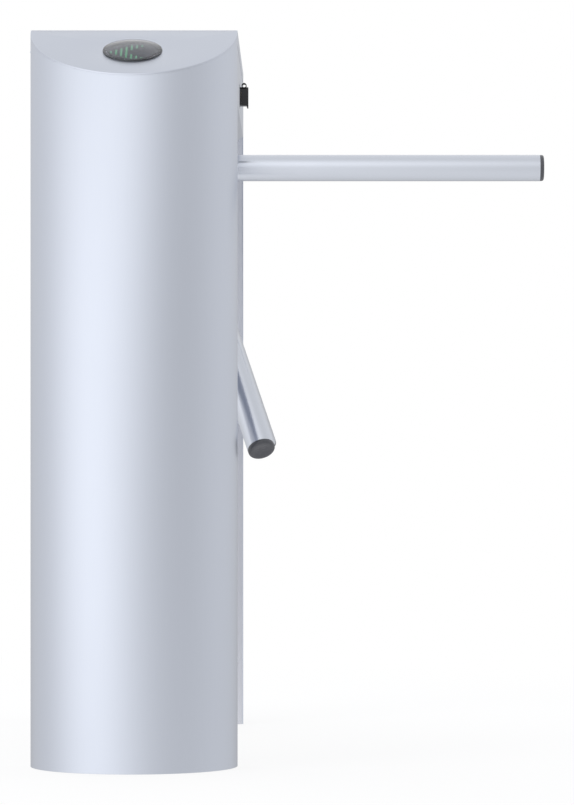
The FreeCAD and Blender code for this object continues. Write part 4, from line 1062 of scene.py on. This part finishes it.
class TURNSTILE_OT_stage(bpy.types.Operator):
    """Sets the pale floor, the soft light and the camera"""

    bl_idname = "turnstile.stage"
    bl_label = "Stage"

    def execute(self, context):
        scene = context.scene
        scene.view_settings.view_transform = "Standard"
        self.lay_floor(scene)
        self.light_world(scene)
        self.hang_lamps(scene)
        self.set_camera(scene)
        return {"FINISHED"}

    def lay_floor(self, scene):
        """A pale floor that keeps the shadow and turns white before its edge."""
        bm = bmesh.new()
        bmesh.ops.create_circle(bm, cap_ends=True, segments=SPIN_STEPS, radius=FLOOR_RADIUS)
        bmesh.ops.translate(bm, vec=(0, 0, -FLOOR_DROP), verts=bm.verts)
        mesh = bpy.data.meshes.new("floor")
        bm.to_mesh(mesh)
        bm.free()
        floor = bpy.data.objects.new("floor", mesh)
        scene.collection.objects.link(floor)
        material = bpy.data.materials.new("Pale Floor")
        material.use_nodes = True
        tree = material.node_tree
        shader = tree.nodes["Principled BSDF"]
        wire(tree, shader, {
            "Base Color": (*colours().floor, 1),
            "Roughness": FLOOR_ROUGHNESS,
            "Specular IOR Level": 0.0,
        })
        glow = tree.nodes.new("ShaderNodeEmission")
        place = tree.nodes.new("ShaderNodeTexCoord")
        reach = add_node(tree, "ShaderNodeVectorMath", {0: place.outputs["Object"]}, operation="LENGTH")
        fade = add_node(tree, "ShaderNodeMapRange", {
            "Value": reach.outputs["Value"],
            "From Min": FLOOR_RADIUS * FADE_START,
            "From Max": FLOOR_RADIUS * FADE_END,
            "To Min": FLOOR_WHITE,
        }, interpolation_type="SMOOTHSTEP")
        factors = {0: seen_rays(tree), 1: fade.outputs["Result"]}
        share = add_node(tree, "ShaderNodeMath", factors, operation="MULTIPLY")
        mix = add_node(tree, "ShaderNodeMixShader", {
            "Fac": share.outputs["Value"],
            1: shader.outputs["BSDF"],
            2: glow.outputs["Emission"],
        })
        wire(tree, tree.nodes["Material Output"], {"Surface": mix.outputs["Shader"]})
        mesh.materials.append(material)
        floor.visible_glossy = False

    def light_world(self, scene):
        """Plain light for dull surfaces, a soft studio for shiny ones and white for the camera."""
        world = bpy.data.worlds.new("Studio")
        scene.world = world
        world.use_nodes = True
        tree = world.node_tree
        light = tree.nodes["Background"]
        wire(tree, light, {"Color": WORLD_COLOUR, "Strength": WORLD_LIGHT})
        path = tree.nodes.new("ShaderNodeLightPath")
        bright = add_node(tree, "ShaderNodeMix", {
            "Factor": path.outputs["Is Camera Ray"],
            "A": self.studio_glow(tree),
            "B": 1.0,
        })
        white = {"Color": (1, 1, 1, 1), "Strength": bright.outputs["Result"]}
        seen = add_node(tree, "ShaderNodeBackground", white)
        mix = add_node(tree, "ShaderNodeMixShader", {
            "Fac": seen_rays(tree),
            1: light.outputs["Background"],
            2: seen.outputs["Background"],
        })
        wire(tree, tree.nodes["World Output"], {"Surface": mix.outputs["Shader"]})

    def studio_glow(self, tree):
        """Brightness of the studio round the object: an even level with a few broad soft glows."""
        ray = tree.nodes.new("ShaderNodeTexCoord").outputs["Generated"]
        total = STUDIO_LEVEL
        for turn, rise, sharpness, strength in GLOWS:
            turn = math.radians(turn)
            rise = math.radians(rise)
            aim = (math.sin(turn) * math.cos(rise), -math.cos(turn) * math.cos(rise), math.sin(rise))
            facing = add_node(tree, "ShaderNodeVectorMath", {0: ray, 1: aim}, operation="DOT_PRODUCT")
            near = add_node(tree, "ShaderNodeMapRange", {"Value": facing.outputs["Value"], "From Min": -1.0})
            power = {0: near.outputs["Result"], 1: sharpness}
            narrow = add_node(tree, "ShaderNodeMath", power, operation="POWER")
            share = {0: narrow.outputs["Value"], 1: strength, 2: total}
            total = add_node(tree, "ShaderNodeMath", share, operation="MULTIPLY_ADD").outputs["Value"]
        return total

    def hang_lamps(self, scene):
        """Softboxes for dull surfaces and the floor's shadow; shiny ones see the studio's glows instead."""
        for name, spot, aim, width, height, power in LAMPS:
            data = bpy.data.lights.new(name, "AREA")
            data.shape = "RECTANGLE"
            data.size = width
            data.size_y = height
            data.energy = power
            lamp = bpy.data.objects.new(name, data)
            lamp.location = spot
            lamp.rotation_mode = "QUATERNION"
            lamp.rotation_quaternion = (Vector(aim) - Vector(spot)).to_track_quat("-Z", "Y")
            lamp.visible_glossy = False
            scene.collection.objects.link(lamp)

    def set_camera(self, scene):
        data = bpy.data.cameras.new("Camera")
        data.lens = CAMERA_LENS
        data.sensor_width = SENSOR_WIDTH
        data.clip_end = CLIP_END
        camera = bpy.data.objects.new("Camera", data)
        camera.location = CAMERA_PLACE
        camera.rotation_euler = (math.radians(90), 0, 0)
        scene.collection.objects.link(camera)
        scene.camera = camera


class TURNSTILE_PT_panel(bpy.types.Panel):
    """Lists the turnstile's operators and sizes in the sidebar"""

    bl_idname = "TURNSTILE_PT_panel"
    bl_label = "Tripod Turnstile"
    bl_space_type = "VIEW_3D"
    bl_region_type = "UI"
    bl_category = "Turnstile"

    def draw(self, context):
        for operator in OPERATORS:
            self.layout.operator(operator.bl_idname)
        for group in (context.scene.turnstile_sizes, context.scene.turnstile_colours):
            for name in group.bl_rna.properties.keys():
                if name not in ("name", "rna_type"):
                    self.layout.prop(group, name)


OPERATORS = (
    TURNSTILE_OT_carried,
    TURNSTILE_OT_columns,
    TURNSTILE_OT_tops,
    TURNSTILE_OT_indicators,
    TURNSTILE_OT_arrows,
    TURNSTILE_OT_arms,
    TURNSTILE_OT_hub,
    TURNSTILE_OT_lock,
    TURNSTILE_OT_screws,
    TURNSTILE_OT_board,
    TURNSTILE_OT_stage,
)
CLASSES = (TurnstileSizes, TurnstileColours, *OPERATORS, TURNSTILE_PT_panel)


def register():
    for cls in CLASSES:
        bpy.utils.register_class(cls)
    bpy.types.Scene.turnstile_sizes = bpy.props.PointerProperty(type=TurnstileSizes)
    bpy.types.Scene.turnstile_colours = bpy.props.PointerProperty(type=TurnstileColours)


def unregister():
    del bpy.types.Scene.turnstile_colours
    del bpy.types.Scene.turnstile_sizes
    for cls in reversed(CLASSES):
        bpy.utils.unregister_class(cls)


def main():
    register()
    bpy.ops.turnstile.carried()
    bpy.ops.turnstile.columns()
    bpy.ops.turnstile.tops()
    bpy.ops.turnstile.indicators()
    bpy.ops.turnstile.arrows()
    bpy.ops.turnstile.arms()
    bpy.ops.turnstile.hub()
    bpy.ops.turnstile.lock()
    bpy.ops.turnstile.screws()
    bpy.ops.turnstile.board()
    bpy.ops.turnstile.stage()


if __name__ == "__main__":
    main()
